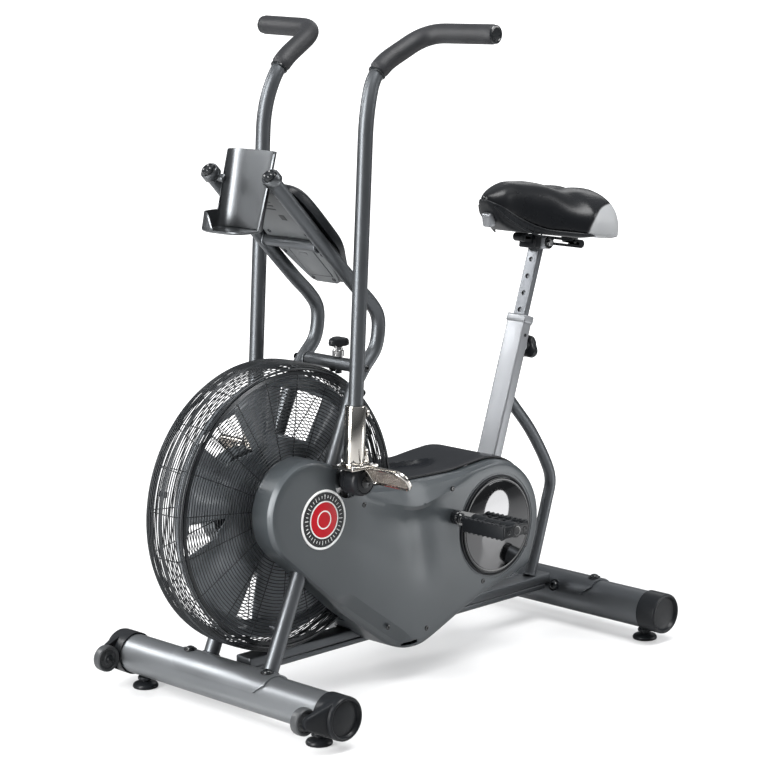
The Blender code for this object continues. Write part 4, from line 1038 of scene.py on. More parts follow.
def rotor():
    """Six broad scooped blades between a hub plate and a rolled rim, with a window beside each blade."""
    bm = bmesh.new()
    blades, per_blade = 6, 30
    columns = blades * per_blade
    radii = [0.0235, 0.04, 0.06, 0.078, 0.088, 0.098, 0.108, 0.118, 0.126, 0.132, 0.14, 0.152, 0.166, 0.18, 0.194,
             0.208, 0.22, 0.227, 0.232, 0.238, 0.2435, 0.2462, 0.2474]
    grid = []
    for i in range(columns):
        angle = 2 * math.pi * i / columns - math.radians(21)
        phase = (i % per_blade) / per_blade
        column = []
        for r in radii:
            swell = ease(r, 0.095, 0.135) * (1 - ease(r, 0.218, 0.236))
            if phase <= 0.4:
                y = -0.02 * math.cos(math.pi * phase / 0.4) * swell
            else:
                q = (phase - 0.4) / 0.6
                y = (0.02 * math.cos(math.pi * q) + 0.006 * math.sin(2 * math.pi * q)) * swell
            ripple = 0.0022 * math.exp(-((r - 0.092) / 0.007) ** 2) - 0.002 * math.exp(-((r - 0.06) / 0.008) ** 2)
            lip = 0.017 * ease(r, 0.240, 0.2474) ** 1.5
            column.append(bm.verts.new(FAN + spoke(angle) * r + Y * (y + ripple + lip + 0.002)))
        grid.append(column)
    for i in range(columns):
        phase = ((i % per_blade) + 0.5) / per_blade
        for j in range(len(radii) - 1):
            r = (radii[j] + radii[j + 1]) / 2
            corner = min(1.0, (min(phase, 0.4 - phase) / 0.05)) if phase < 0.4 else 0.0
            inner, outer = 0.1435 - 0.009 * corner, 0.2105 + 0.009 * corner
            if 0.03 < phase < 0.37 and inner < r < outer:
                continue
            k = (i + 1) % columns
            bm.faces.new((grid[i][j], grid[k][j], grid[k][j + 1], grid[i][j + 1]))
    loose = [v for v in bm.verts if not v.link_faces]
    bmesh.ops.delete(bm, geom=loose, context="VERTS")
    obj = piece("fan_blades", bm, ROTOR, "fan", ("fan_rotor",), sharp=50)
    step = obj.modifiers.new("thickness", "SOLIDIFY")
    step.thickness = 0.0022
    step.offset = 0.0
    nuts = []
    for k in range(6):
        nuts.append(hex_bolt(FAN + spoke(math.pi / 3 * k) * 0.035 + Y * 0.003, Y, 0.005, 0.004))
    piece("fan_bolts", merge(*nuts), STEEL, "fan")


for label, side in SIDES:
    guard(label, side)
guard_clips()
rotor()


# ---------------------------------------------------------------- shroud

def shroud_outline():
    fan, crank = flat(FAN), flat(CRANK)
    loop = arc(fan, 0.1, -58, 100, 40)
    loop += [(0.21, 0.4515), (0.15, 0.402), (0.09, 0.398), (0.02, 0.394), (-0.04, 0.3925), (-0.1, 0.391)]
    loop += arc(crank, 0.13, 88, 200, 34)
    loop += [(-0.3, 0.168), (-0.1575, 0.133), (-0.0885, 0.106), (-0.0265, 0.08), (0.0135, 0.066), (0.0485, 0.066),
             (0.085, 0.079), (0.2045, 0.166)]
    made = resample([Vector((x, 0, z)) for x, z in loop], 260, closed=True)
    return [(p.x, p.z) for p in soften([tuple((p.x, p.z)) for p in made])]


def soften(loop, rounds=3):
    pts = np.array(loop, float)
    for _ in range(rounds):
        pts = 0.5 * pts + 0.25 * (np.roll(pts, 1, axis=0) + np.roll(pts, -1, axis=0))
    return [Vector((x, 0, z)) for x, z in pts]


def inward(loop):
    pts = np.array(loop, float)
    run = np.roll(pts, -1, axis=0) - np.roll(pts, 1, axis=0)
    run /= np.linalg.norm(run, axis=1)[:, None]
    normal = np.stack([-run[:, 1], run[:, 0]], axis=1)
    middle = pts.mean(axis=0)
    if np.einsum("ij,ij->i", normal, middle - pts).sum() < 0:
        normal = -normal
    return normal


def facet_width(x, z):
    """How far the outer face is set in from the outline there."""
    top = z > 0.36
    if top and -0.15 < x < 0.19:
        return 0.012 + 0.036 * min(1.0, max(0.0, (x + 0.14) / 0.15)) * min(1.0, max(0.0, (0.19 - x) / 0.17))
    if z < 0.19 and x > 0.02:
        return 0.012 + 0.024 * ease(x, 0.02, 0.08)
    if z < 0.2:
        return 0.012
    return 0.0125


def spine_at(x):
    front, middle, rear = flat(FAN), (0.02, 0.215), flat(CRANK)
    if x > middle[0]:
        t = min(1.0, (x - middle[0]) / (front[0] - middle[0]))
        return (middle[0] + t * (front[0] - middle[0]), middle[1] + t * (front[1] - middle[1]))
    t = min(1.0, (middle[0] - x) / (middle[0] - rear[0]))
    return (middle[0] + t * (rear[0] - middle[0]), middle[1] + t * (rear[1] - middle[1]))


def shroud_half(side):
    outline = shroud_outline()
    normal = inward(outline)
    widths = np.array([facet_width(x, z) for x, z in outline])
    for _ in range(6):
        widths = 0.5 * widths + 0.25 * (np.roll(widths, 1) + np.roll(widths, -1))
    pts = np.array(outline)
    bm = bmesh.new()
    loops = []
    drop = np.clip((widths - 0.0135) / 0.03, 0, 1)

    def loop_at(inset, y):
        made = pts + normal * (inset[:, None] if hasattr(inset, "__len__") else inset)
        for _ in range(2):
            made = 0.6 * made + 0.2 * (np.roll(made, 1, axis=0) + np.roll(made, -1, axis=0))
        ys = y if hasattr(y, "__len__") else np.full(len(pts), y)
        return [bm.verts.new((p[0], side * v, p[1])) for p, v in zip(made, ys)]

    edge_y = 0.0985 - 0.0125 * drop
    loops.append(loop_at(0.0, np.full(len(pts), 0.0012)))
    loops.append(loop_at(0.0, np.full(len(pts), 0.02)))
    loops.append(loop_at(0.0, edge_y - 0.014))
    loops.append(loop_at(0.0, edge_y - 0.0035))
    loops.append(loop_at(0.0008, edge_y - 0.001))
    loops.append(loop_at(widths * 0.14, edge_y + 0.0018 * (1 - drop) + 0.001 * drop))
    for share in (0.35, 0.6, 0.8):
        round_rise = math.sqrt(1 - (1 - share) ** 2)
        rise = round_rise * (1 - drop) + share * drop
        loops.append(loop_at(widths * share, edge_y + (0.1078 - edge_y) * rise))
    loops.append(loop_at(widths * 0.93, 0.1077 * (1 - drop) + drop * (edge_y + (0.1078 - edge_y) * 0.93)))
    loops.append(loop_at(widths + 0.001, 0.1080))
    rim = np.array([(v.co.x, v.co.z) for v in loops[-1]])
    spine = np.array([spine_at(x) for x, z in rim])
    for _ in range(30):
        spine = 0.5 * spine + 0.25 * (np.roll(spine, 1, axis=0) + np.roll(spine, -1, axis=0))
    for t in (0.07, 0.14, 0.21, 0.28, 0.35, 0.42, 0.5, 0.58, 0.66, 0.74, 0.82, 0.9, 0.96):
        here = rim + (spine - rim) * t
        loops.append([bm.verts.new((x, side * face_rise(x, z, 0.1081 + 0.0006 * math.sin(math.pi * t)), z))
                      for x, z in here])
    skin(bm, loops)
    close_spine(bm, loops[-1])
    return bm


def face_rise(x, z, y):
    """Soft upright fold in the flat face between the fan and the crank."""
    across = (x - (0.012 + 0.16 * (z - 0.28))) / 0.034
    along = ease(z, 0.16, 0.27) * (1 - ease(z, 0.345, 0.372))
    return y - 0.0046 * math.exp(-across * across) * along - 0.0015 * math.exp(-((across + 1.9) / 1.6) ** 2) * along


def close_spine(bm, loop):
    """Faces across the thin last loop, its upper and lower halves joined strip by strip."""
    count = len(loop)
    xs = [v.co.x for v in loop]
    right, left = xs.index(max(xs)), xs.index(min(xs))
    a, b = right, right
    while True:
        nxt_a, nxt_b = (a + 1) % count, (b - 1) % count
        if a == left and b == left:
            break
        if nxt_a == nxt_b or a == nxt_b:
            break
        if a == b:
            bm.faces.new((loop[a], loop[nxt_a], loop[nxt_b]))
            a, b = nxt_a, nxt_b
            continue
        if nxt_a == left and nxt_b == left:
            bm.faces.new((loop[a], loop[left], loop[b]))
            break
        if (xs[nxt_a] > xs[nxt_b] and a != left) or b == left:
            bm.faces.new((loop[a], loop[nxt_a], loop[b]))
            a = nxt_a
        else:
            bm.faces.new((loop[a], loop[nxt_b], loop[b]))
            b = nxt_b


def shroud(label, side):
    bm = shroud_half(side)
    bmesh.ops.recalc_face_normals(bm, faces=bm.faces)
    bm.normal_update()
    outer_faces = list(bm.faces)
    open_rim = [e for e in bm.edges if e.is_boundary]
    copies = {}
    for v in list(bm.verts):
        inner = v.co - v.normal * 0.0028
        if abs(v.co.y) < 0.0015:
            inner.y = v.co.y
        copies[v] = bm.verts.new(inner)
    for face in outer_faces:
        bm.faces.new([copies[v] for v in reversed(face.verts)])
    for edge in open_rim:
        a, b = edge.verts
        bm.faces.new((a, b, copies[b], copies[a]))
    obj = piece("shroud_skin_" + label, bm, SHROUD, "frame", ("shroud_" + label,), sharp=0)
    wide = lambda low, high: sorted((side * low, side * high))
    tools = []
    for radius, near, far, centre, steps in ((0.277, -0.01, 0.0545, FAN, 128), (0.037, 0.094, 0.121, PIVOT, 64),
                                             (0.047, 0.03, 0.105, PIVOT, 64), (0.0142, 0.09, 0.12, CRANK, 48)):
        low, high = wide(near, far)
        disc = lathe([(0.0, low), (radius, low), (radius, high), (0.0, high)], centre, Y, steps)
        tools.append(cutter("disc", disc))
    tools.append(cutter("stay", tube([at_y(stay_point(0.06), side * STAY_Y), at_y(stay_point(0.64), side * STAY_Y)],
                                   0.0168, 40)))
    tools.append(cutter("mast", block((0.031, 0.055, 0.7), MAST_MOUTH - MAST_UP * 0.3, MAST_TURN, 0)))
    tools.append(cutter("beam", block((1.2, 0.0465, 0.0265), (0.0, 0, 0.094), None, 0)))
    chin = block((0.034, 0.02, 0.0075), (0.042, side * 0.1015, 0.0785), Matrix.Rotation(0.1, 3, "Y"), 0.003, 2)
    tools.append(cutter("chin", chin))
    above, below = shroud_top(0.008), shroud_top(-0.009)
    tools.append(cutter("top", prism(above + below[::-1], *wide(-0.01, 0.079))))
    tools.append(cutter("eye", prism(capsule((-0.004, 0.335), (0.002, 0.349), 0.0022, 6), *wide(0.107, 0.1105))))
    groove = [(0.1035, 0.1072), (0.1065, 0.1072), (0.1065, 0.112), (0.1035, 0.112)]
    tools.append(cutter("groove", spun(groove, side, CRANK, 120)))
    carve(obj, tools)
    smooth_by_angle(obj, 13)
    return obj


def shroud_details(label, side):
    ring = [(0.0968, 0.1082), (0.0968, 0.1098), (0.0978, 0.1106), (0.0998, 0.1106), (0.1012, 0.1096), (0.1016, 0.1080)]
    piece("disc_surround_" + label, spun(ring, side, CRANK, 120), STRIP, "frame")
    rim = [(0.0, 0.1082), (0.0565, 0.1082), (0.0565, 0.1100), (0.0553, 0.1110), (0.0532, 0.1110), (0.0522, 0.1100),
           (0.0, 0.1100)]
    piece("badge_rim_" + label, spun(rim, side, BADGE, 96), WHITE_PRINT, "frame")
    band = [(0.0, 0.1098), (0.0520, 0.1098), (0.0517, 0.1104), (0.0, 0.1104)]
    piece("badge_field_" + label, spun(band, side, BADGE, 96), GLOSS_BLACK, "frame")
    heart = [(0.0, 0.1103), (0.0335, 0.1103), (0.0335, 0.1107), (0.031, 0.1111), (0.0155, 0.1114), (0.0, 0.1115)]
    piece("badge_centre_" + label, spun(heart, side, BADGE, 80), RED, "frame")
    bits = []
    for k in range(36):
        a = 2 * math.pi * (k + 0.5) / 36
        spot = BADGE + spoke(a) * 0.0435 + Y * side * (FACE_Y + 0.0022)
        bits.append(block((0.0055 if k % 3 else 0.0085, 0.0006, 0.0012), spot, spoke_turn(spoke(a)), 0.0002, 1))
    for r, wide in ((0.0345, 0.0011), (0.0165, 0.0012)):
        hoop = [(r - wide, 0.1103), (r + wide, 0.1103), (r + wide, 0.1117), (r - wide, 0.1117)]
        bits.append(spun(hoop, side, BADGE, 80))
    piece("badge_marks_" + label, merge(*bits), WHITE_PRINT, "frame")
    head = [(0.0, 0.1076), (0.0052, 0.1076), (0.0052, 0.1088), (0.004, 0.1094), (0.0022, 0.1092), (0.002, 0.1084),
            (0.0, 0.1084)]
    screws = [spun(head, side, (x, 0, z), 28) for x, z in
              ((-0.255, 0.345), (-0.285, 0.215), (-0.16, 0.1625), (0.0, 0.1), (0.105, 0.124), (0.165, 0.375),
               (-0.075, 0.365))]
    piece("shroud_screws_" + label, merge(*screws), GLOSS_BLACK, "frame")


def shroud_top(lift):
    """(x, z) points along the shroud's upper edge, front to rear, raised by lift."""
    loop = shroud_outline()
    crank = np.array(flat(CRANK))
    made = []
    for point, out in zip(loop, -inward(loop)):
        angle = math.degrees(math.atan2(point[1] - crank[1], point[0] - crank[0]))
        over = point[1] > 0.34 and point[0] < 0.135 and not (point[0] < crank[0] and angle > 152)
        if over:
            made.append((point[0] + out[0] * lift, point[1] + out[1] * lift))
    return sorted(made, key=lambda p: math.atan2(p[1] - 0.1, p[0] + 0.06))


def top_strip():
    """Glossy cover along the top of the shroud and round its rear, with a long oval dish."""
    bm = bmesh.new()
    columns = 44
    skins = []
    for lift in (0.0016, -0.0012):
        grid = []
        for x, z in shroud_top(lift):
            row = []
            for j in range(columns + 1):
                y = -0.0832 + 0.1664 * j / columns
                dish = 1 - ease(math.hypot((x + 0.012) / 0.118, y / 0.04), 0.86, 1.0)
                edge = ease(abs(y), 0.076, 0.0832)
                row.append(bm.verts.new((x, y, z + 0.0042 - 0.0085 * dish - 0.001 * edge)))
            grid.append(row)
        skins.append(grid)
    sheet(bm, *skins)
    obj = piece("shroud_top_cover", bm, STRIP, "frame", sharp=0)
    mast = block((0.03, 0.054, 0.7), MAST_MOUTH - MAST_UP * 0.3, MAST_TURN, 0)
    cage = lathe(rounded_rod(0.2768, -0.056, 0.056, 0.0004), FAN, Y, 120)
    carve(obj, [cutter("mast", mast), cutter("cage", cage)])
    smooth_by_angle(obj, 25)
    return obj


for label, side in SIDES:
    shroud(label, side)
    shroud_details(label, side)
top_strip()


# ---------------------------------------------------------------- cranks and pedals

def crank_side(label, side):
    plate = [(0.0104, 0.1096), (0.0945, 0.1096), (0.0957, 0.1104), (0.0957, 0.1122), (0.0945, 0.1128), (0.0905, 0.1129),
             (0.0895, 0.1124), (0.0104, 0.1124)]
    mirror = [(0.0106, 0.1122), (0.0893, 0.1122), (0.0893, 0.1131), (0.0885, 0.1135), (0.0106, 0.1135)]
    piece("crank_disc_rim_" + label, spun(plate, side, CRANK, 128), GLOSS_BLACK, "crank",
          ("crank_disc_" + label,))
    piece("crank_disc_face_" + label, spun(mirror, side, CRANK, 128), MIRROR, "crank")
    angle = CRANK_ANGLE + (0 if side > 0 else math.pi)
    tip = CRANK + spoke(angle) * CRANK_THROW
    low, high = sorted((side * 0.1140, side * 0.1294))
    arm = prism(capsule(flat(CRANK), flat(tip), 0.0158, 18, 0.0138), low, high, 0.0034, 4)
    collar = [(0.0104, 0.1134), (0.0225, 0.1134), (0.0225, 0.1148), (0.0185, 0.1165), (0.0104, 0.1165)]
    spindle = [(0.0, 0.121), (0.0102, 0.1290), (0.0102, 0.1325), (0.0085, 0.1345), (0.0072, 0.1365), (0.0064, 0.1395),
               (0.0064, 0.2715), (0.0, 0.2722)]
    bar = merge(arm, spun(collar, side, CRANK, 40), spun(spindle, side, tip, 32))
    piece("crank_arm_bar_" + label, bar, GLOSS_BLACK, "crank", ("crank_arm_" + label,))
    washer = [(0.0, 0.1288), (0.0105, 0.1288), (0.0105, 0.1312), (0.0090, 0.1322), (0.0082, 0.1312), (0.0, 0.1305)]
    bolt = hex_bolt(CRANK + Y * side * 0.1303, Y * side, 0.0072, 0.0042, False)
    piece("crank_bolt_" + label, merge(spun(washer, side, CRANK, 36), bolt), STEEL, "crank")
    pedal(label, side, tip)


def pedal(label, side, tip):
    """Black platform pedal: a ribbed cage round a spindle barrel, with teeth along both long rims."""
    y0, y1 = 0.1655, 0.2775
    mid = (y0 + y1) / 2
    spot = lambda x, y, z: tip + Vector((x, side * y, z))
    parts = []
    for sx in (1, -1):
        parts.append(block((0.0075, y1 - y0 - 0.004, 0.0265), spot(sx * 0.0325, mid, 0), None, 0.0022, 3))
        for sz in (1, -1):
            for k in range(9):
                y = y0 + 0.008 + k * 0.012
                tooth = [(-0.0031, 0.0), (0.0031, 0.0), (0.0016, 0.0026), (-0.0016, 0.0026)]
                bm = prism(tooth, -0.0028, 0.0028, 0.0004, 1)
                flip = Matrix.Rotation(math.pi / 2, 3, "Z") @ (Matrix.Rotation(math.pi, 3, "Y") if sz < 0
                                                               else Matrix.Identity(3))
                parts.append(in_frame(bm, spot(sx * 0.0325, y, sz * 0.0122), flip))
    for y in (y0 + 0.0035, y0 + 0.038, y1 - 0.038, y1 - 0.0035):
        parts.append(block((0.0665, 0.007 if y in (y0 + 0.0035, y1 - 0.0035) else 0.005, 0.022), spot(0, y, 0), None,
                           0.002, 2))
    barrel = [(0.0067, y0 + 0.001), (0.0135, y0 + 0.001), (0.0142, y0 + 0.002), (0.0142, y0 + 0.03),
              (0.0125, y0 + 0.034), (0.0125, y1 - 0.034), (0.0142, y1 - 0.03), (0.0142, y1 - 0.002),
              (0.0135, y1 - 0.0008), (0.0067, y1 - 0.0008)]
    parts.append(spun(barrel, side, tip, 36))
    for sz in (1, -1):
        for y in (y0 + 0.019, mid, y1 - 0.019):
            parts.append(block((0.0605, 0.0045, 0.0042), spot(0, y, sz * 0.0082), None, 0.0012, 2))
        for x in (-0.0195, 0.0195):
            parts.append(block((0.0045, y1 - y0 - 0.012, 0.0042), spot(x, mid, sz * 0.0082), None, 0.0012, 2))
    piece("pedal_cage_" + label, merge(*parts), BLACK, "pedal_" + label, ("pedal_" + label,))
    plug = [(0.0, y1 - 0.0012), (0.0052, y1 - 0.0012), (0.0052, y1 + 0.0003), (0.0042, y1 + 0.0006),
            (0.0036, y1 - 0.0004), (0.0, y1 - 0.0004)]
    collar = [(0.0072, y1 - 0.0008), (0.0098, y1 - 0.0008), (0.0098, y1 + 0.0004), (0.0072, y1 + 0.0006)]
    ends = [spun(plug, side, tip + X * x, 24) for x in (-0.0225, 0.0225)] + [spun(collar, side, tip, 30)]
    piece("pedal_end_plugs_" + label, merge(*ends), GLOSS_BLACK, "pedal_" + label)


# ---------------------------------------------------------------- swinging arms

def arm_x(z):
    return 0.2115 - 0.066 * (z - 0.6)


def arm_path(side):
    points = [(arm_x(0.478), ARM_Y, 0.478), (arm_x(1.108), ARM_Y, 1.108), (0.147, 0.129, 1.188), (0.03, 0.149, 1.2485),
              (0.018, 0.31, 1.2505)]
    return rounded([Vector((x, side * y, z)) for x, y, z in points], 0.045, 14)


def swing_arm(label, side):
    body = "arm_" + label
    path = arm_path(side)
    fine = resample(path, 150)
    first = next(k for k, p in enumerate(fine) if p.z > 1.178)
    piece("arm_bar_" + label, tube(fine[:first + 6], ARM_R, 40), FRAME_GREY, body, ("arm_tube_" + label,))
    foam = fine[first:]
    run = tangents_of(foam)
    total = sum((b - a).length for a, b in zip(foam, foam[1:]))
    radii, gone = [], 0.0
    for k, p in enumerate(foam):
        gone += (p - foam[k - 1]).length if k else 0.0
        near = min(gone, total - gone)
        radii.append(GRIP_R - 0.0032 * (1 - min(1.0, near / 0.004)) ** 2)
    grip = tube(foam, GRIP_R, 48, radii=radii)
    piece("arm_foam_" + label, grip, FOAM, body, ("arm_grip_" + label,), sharp=50)
    tip, ahead = foam[-1] - run[-1] * 0.0003, run[-1]
    cap = [(0.0, -0.002), (0.0162, -0.002), (0.0172, -0.0008), (0.0172, 0.0008), (0.0158, 0.0022), (0.0128, 0.0026),
           (0.0118, 0.0016), (0.0, 0.0012)]
    ring = [(0.0142, -0.0042), (0.0162, -0.0042), (0.0172, -0.0034), (0.0172, -0.0008), (0.0142, 0.0)]
    rings = merge(lathe(cap, tip, ahead, 44), lathe(ring, foam[0], run[0], 44))
    piece("arm_end_rings_" + label, rings, GLOSS_BLACK, body)
    arm_socket(label, side, body)
    foot_peg(label, side, body)
    boot(label, side, body)


def arm_socket(label, side, body):
    low, high = (Vector((arm_x(z), side * ARM_Y, z)) for z in (0.4665, 0.5765))
    axis = (high - low).normalized()
    length = (high - low).length
    profile = [(0.0141, 0.0), (0.0196, 0.0), (0.0198, 0.0004), (0.0198, length - 0.0016), (0.0192, length - 0.0004),
               (0.018, length), (0.0143, length), (0.0143, length - 0.006)]
    sleeve = lathe(profile, low, axis, 64)
    obj = piece("chrome_socket_" + label, sleeve, CHROME, body, ("arm_base_" + label,), sharp=0)
    slot_tool = block((0.012, 0.0026, 0.086), at_y(low + axis * (length - 0.036), side * ARM_Y) - X * 0.0185, None, 0.0)
    slot_hole = lathe(rounded_rod(0.0032, -0.012, 0.012, 0.0002), low + axis * (length - 0.081) - X * 0.0185, X, 20)
    carve(obj, [cutter("slot", slot_tool), cutter("hole", slot_hole)])
    smooth_by_angle(obj, 30)
    rest = [block((0.066, 0.0552, 0.0058), (0.2175, side * 0.1395, 0.4635), None, 0.0014, 3)]
    outline = [(0.2, 0.4658), (0.182, 0.4658), (0.1825, 0.4685), (0.1925, 0.499), (0.1945, 0.5005), (0.2, 0.5005)]
    rest.append(prism(outline, side * 0.138 - 0.002, side * 0.138 + 0.002, 0.0006))
    rest.append(weld_bead(low + axis * 0.0012, axis, 0.0202, 0.0022))
    for z in (0.561, 0.4885):
        centre = Vector((arm_x(z), side * (ARM_Y + 0.006), z))
        rest.append(lathe([(0.0, 0.0165), (0.0095, 0.0165), (0.0095, 0.0212), (0.0088, 0.022), (0.0, 0.022)], centre,
                          -X, 36))
    piece("chrome_socket_plate_" + label, merge(*rest), CHROME, body)
    bolts = []
    for z in (0.561, 0.4885):
        centre = Vector((arm_x(z) - 0.0215, side * (ARM_Y + 0.006), z))
        bolts.append(button_bolt(centre, -X, 0.0082, 0.0056))
    for x in (0.1945, 0.2405):
        for dy in (-0.019, 0.019):
            bolts.append(button_bolt(Vector((x, side * 0.1395 + dy, 0.4664)), Z, 0.0042, 0.0024))
    piece("socket_bolts_" + label, merge(*bolts), STEEL, body)


def foot_peg(label, side, body):
    down = Vector((-0.6, 0, -0.8))
    lift = Vector((-0.8, 0, 0.6))
    origin = Vector((0.2125, 0, 0.4655))

    def at(y, d, up):
        return origin + down * d + lift * up + Y * side * y

    corners = [(0.1558, 0.0), (0.243, 0.0), (0.255, 0.006), (0.26, 0.017), (0.259, 0.036), (0.25, 0.046),
               (0.1558, 0.046)]
    outline = [(p.x, p.y) for p in resample([Vector((a, b, 0)) for a, b in
                                             round_corners(corners, 0.006)], 120, closed=True)]
    middle = np.array(outline).mean(axis=0)

    def ring(bm, shrink, up):
        made = []
        for a, b in outline:
            v = np.array([a, b]) - middle
            v = v * (1 - shrink / np.linalg.norm(v))
            made.append(bm.verts.new(at(middle[0] + v[0], middle[1] + v[1], up)))
        return made

    bm = bmesh.new()
    heights = [(0.0056, -0.0006), (0.0048, -0.0010), (0.0038, -0.0036), (0.0022, -0.0043), (0.0008, -0.0038),
               (0.0, -0.0025), (0.0, 0.0036), (0.0008, 0.0047), (0.0022, 0.0051), (0.0036, 0.0046), (0.0044, 0.0028),
               (0.0052, 0.0021)]
    loops = [ring(bm, shrink, up) for shrink, up in heights]
    skin(bm, loops, caps=True)
    piece("peg_frame_" + label, bm, CHROME, body, sharp=40)
    studs = bmesh.new()
    for shrink, up in ((0.0062, 0.0022), (0.0066, -0.0008)):
        studs.faces.new(ring(studs, shrink, up))
    dots = []
    turn = Matrix((down, Y, lift)).transposed()
    for i in range(21):
        for j in range(9):
            y = 0.1605 + i * 0.0048 + (j % 2) * 0.0024
            d = 0.006 + j * 0.0046
            p = np.array([y, d]) - middle
            half = np.array([0.046, 0.0175])
            if (abs(p / half) ** 5).sum() > 1:
                continue
            for up in (0.0026, -0.0012):
                dots.append(block((0.0022, 0.0022, 0.0012), at(y, d, up), turn, 0.0004, 1))
    piece("peg_tread_" + label, merge(studs, *dots), TREAD, body)
    bracket = block((0.0085, 0.02, 0.032), at(0.1535, 0.024, -0.0008), Matrix((lift, Y, down)).transposed(), 0.002, 2)
    piece("peg_bracket_" + label, bracket, CHROME, body)


def round_corners(corners, radius):
    """Closed (a, b) outline with its corners cut round."""
    made = []
    count = len(corners)
    for i in range(count):
        before, here, after = (np.array(corners[k % count], float) for k in (i - 1, i, i + 1))
        back, ahead = before - here, after - here
        back *= min(radius, np.linalg.norm(back) * 0.45) / np.linalg.norm(back)
        ahead *= min(radius, np.linalg.norm(ahead) * 0.45) / np.linalg.norm(ahead)
        for t in (0.0, 0.25, 0.5, 0.75, 1.0):
            made.append(tuple(here + back * (1 - t) ** 2 + ahead * t ** 2))
    return made


def boot(label, side, body):
    """Pivot boot of the swinging arm: ribbed rubber cup with a domed outer end."""
    profile = [(0.0085, 0.1095), (0.0262, 0.1095), (0.0272, 0.1105), (0.0275, 0.114), (0.0262, 0.1155), (0.0276, 0.117),
               (0.0280, 0.121), (0.0267, 0.1225), (0.0280, 0.124), (0.0280, 0.1415), (0.0272, 0.1465), (0.0252, 0.1502),
               (0.0222, 0.1525), (0.0212, 0.1512), (0.0202, 0.1525), (0.0145, 0.1530), (0.0, 0.1531)]
    shaft = [(0.0, 0.0625), (0.0078, 0.0625), (0.0082, 0.0635), (0.0082, 0.1096), (0.0, 0.1096)]
    lever = [(0.0145, 0.0748), (0.0152, 0.0756), (0.0152, 0.0932), (0.0145, 0.0938), (0.0083, 0.0938), (0.0083, 0.0748)]
    piece("pivot_boot_" + label, spun(profile, side, PIVOT, 64), BLACK, body,
          ("pivot_shaft_" + label,))
    pin = Vector((0.19, 0, 0.348))
    low, high = sorted((side * 0.0748, side * 0.0838))
    joint = [(0.0, 0.0752), (0.0068, 0.0752), (0.0068, 0.0936), (0.0, 0.0936)]
    inner = merge(spun(shaft, side, PIVOT, 28), spun(lever, side, PIVOT, 36),
                  prism(capsule(flat(PIVOT), flat(pin), 0.0142, 14, 0.0105), low, high, 0.001),
                  spun(joint, side, pin, 24))
    piece("pivot_lever_" + label, inner, STEEL, body)
    side_cap = [(0.0, 0.1528), (0.0105, 0.1528), (0.0112, 0.1535), (0.0112, 0.1548), (0.0098, 0.1556), (0.0, 0.1557)]
    piece("pivot_cap_" + label, spun(side_cap, side, PIVOT, 40), GLOSS_BLACK, body)


for label, side in SIDES:
    crank_side(label, side)
    swing_arm(label, side)


# ---------------------------------------------------------------- seat post, clamp and knob

def seat_post():
    """The sliding bar, with stopped holes down its front and rear faces."""
    bm = block((0.0141, 0.0311, 0.346), MAST_MOUTH - MAST_UP * 0.027, MAST_TURN, 0.0024, 3)
    obj = piece("post_bar", bm, ALUMINIUM, "seat_post", ("seat_post",), sharp=0)
    holes, rings = [], []
    rim = [(0.0044, 0.0064), (0.0053, 0.0064), (0.0052, 0.00715), (0.0045, 0.00715)]
    for k in range(5):
        spot = MAST_MOUTH + MAST_UP * (0.12 - 0.035 * k)
        for out in (-MAST_REAR, MAST_REAR):
            holes.append(cutter("hole", lathe(rounded_rod(0.0046, 0.0035, 0.02, 0.0002), spot, out, 32)))
            if k < 4:
                rings.append(lathe(rim, spot, out, 32))
    carve(obj, holes)
    smooth_by_angle(obj, 30)
    piece("post_hole_rims", merge(*rings), BLACK, "seat_post")


def seat_pin():
    """Three-lobed pull knob on its neck. The stem stops short of the post, so that the post slides free."""
    three = lambda a: 1.0 + 0.16 * math.cos(3 * a)
    head = [(0.0, 0.0335), (0.013, 0.0335), (0.0192, 0.0352), (0.0222, 0.0385), (0.0222, 0.0475), (0.02, 0.0515),
            (0.015, 0.0535), (0.0, 0.0540)]
    neck = [(0.0, 0.0135), (0.0078, 0.0135), (0.0085, 0.0145), (0.0085, 0.0272), (0.0125, 0.0285), (0.0128, 0.0338),
            (0.0, 0.0338)]
    stem = [(0.0, 0.0079), (0.0038, 0.0079), (0.0042, 0.0085), (0.0042, 0.0136), (0.0, 0.0136)]
    knob = merge(lathe(head, PIN_BASE, MAST_REAR, 60, lobes=three), lathe(neck, PIN_BASE, MAST_REAR, 36),
                 lathe(stem, PIN_BASE, MAST_REAR, 20))
    piece("seat_pin_knob", knob, BLACK, "seat_pin", ("seat_knob",), sharp=38)


def in_saddle(bm):
    return in_frame(bm, SADDLE_ROOT, TILT)


def seat_clamp():
    front = [in_saddle(block((0.0165, 0.047, 0.0285), (0.0148, 0, -0.003), None, 0.003, 3)),
             in_saddle(block((0.0075, 0.04, 0.0255), (-0.0188, 0, -0.003), None, 0.002, 3))]
    piece("clamp_block", merge(*front), BLACK, "seat_post", ("seat_clamp",))
    barrel = in_saddle(block((0.0205, 0.0455, 0.0275), (-0.0042, 0, -0.003), None, 0.0055, 4))
    piece("clamp_barrel", barrel, MAST_PAINT, "seat_post")
    bits, shiny = [], []
    ring = [(0.0075, 0.0205), (0.0125, 0.0205), (0.0130, 0.0212), (0.0130, 0.0235), (0.012, 0.0245), (0.0075, 0.0245)]
    for side in (1, -1):
        bits.append(in_saddle(spun(ring, side, (-0.0175, 0, -0.0025), 44)))
        shiny.append(in_saddle(hex_bolt((-0.0175, side * 0.0232, -0.0025), (0, side, 0), 0.0068, 0.005)))
    piece("clamp_rings", merge(*bits), GLOSS_BLACK, "seat_post")
    piece("clamp_bolts", merge(*shiny), STEEL, "seat_post")


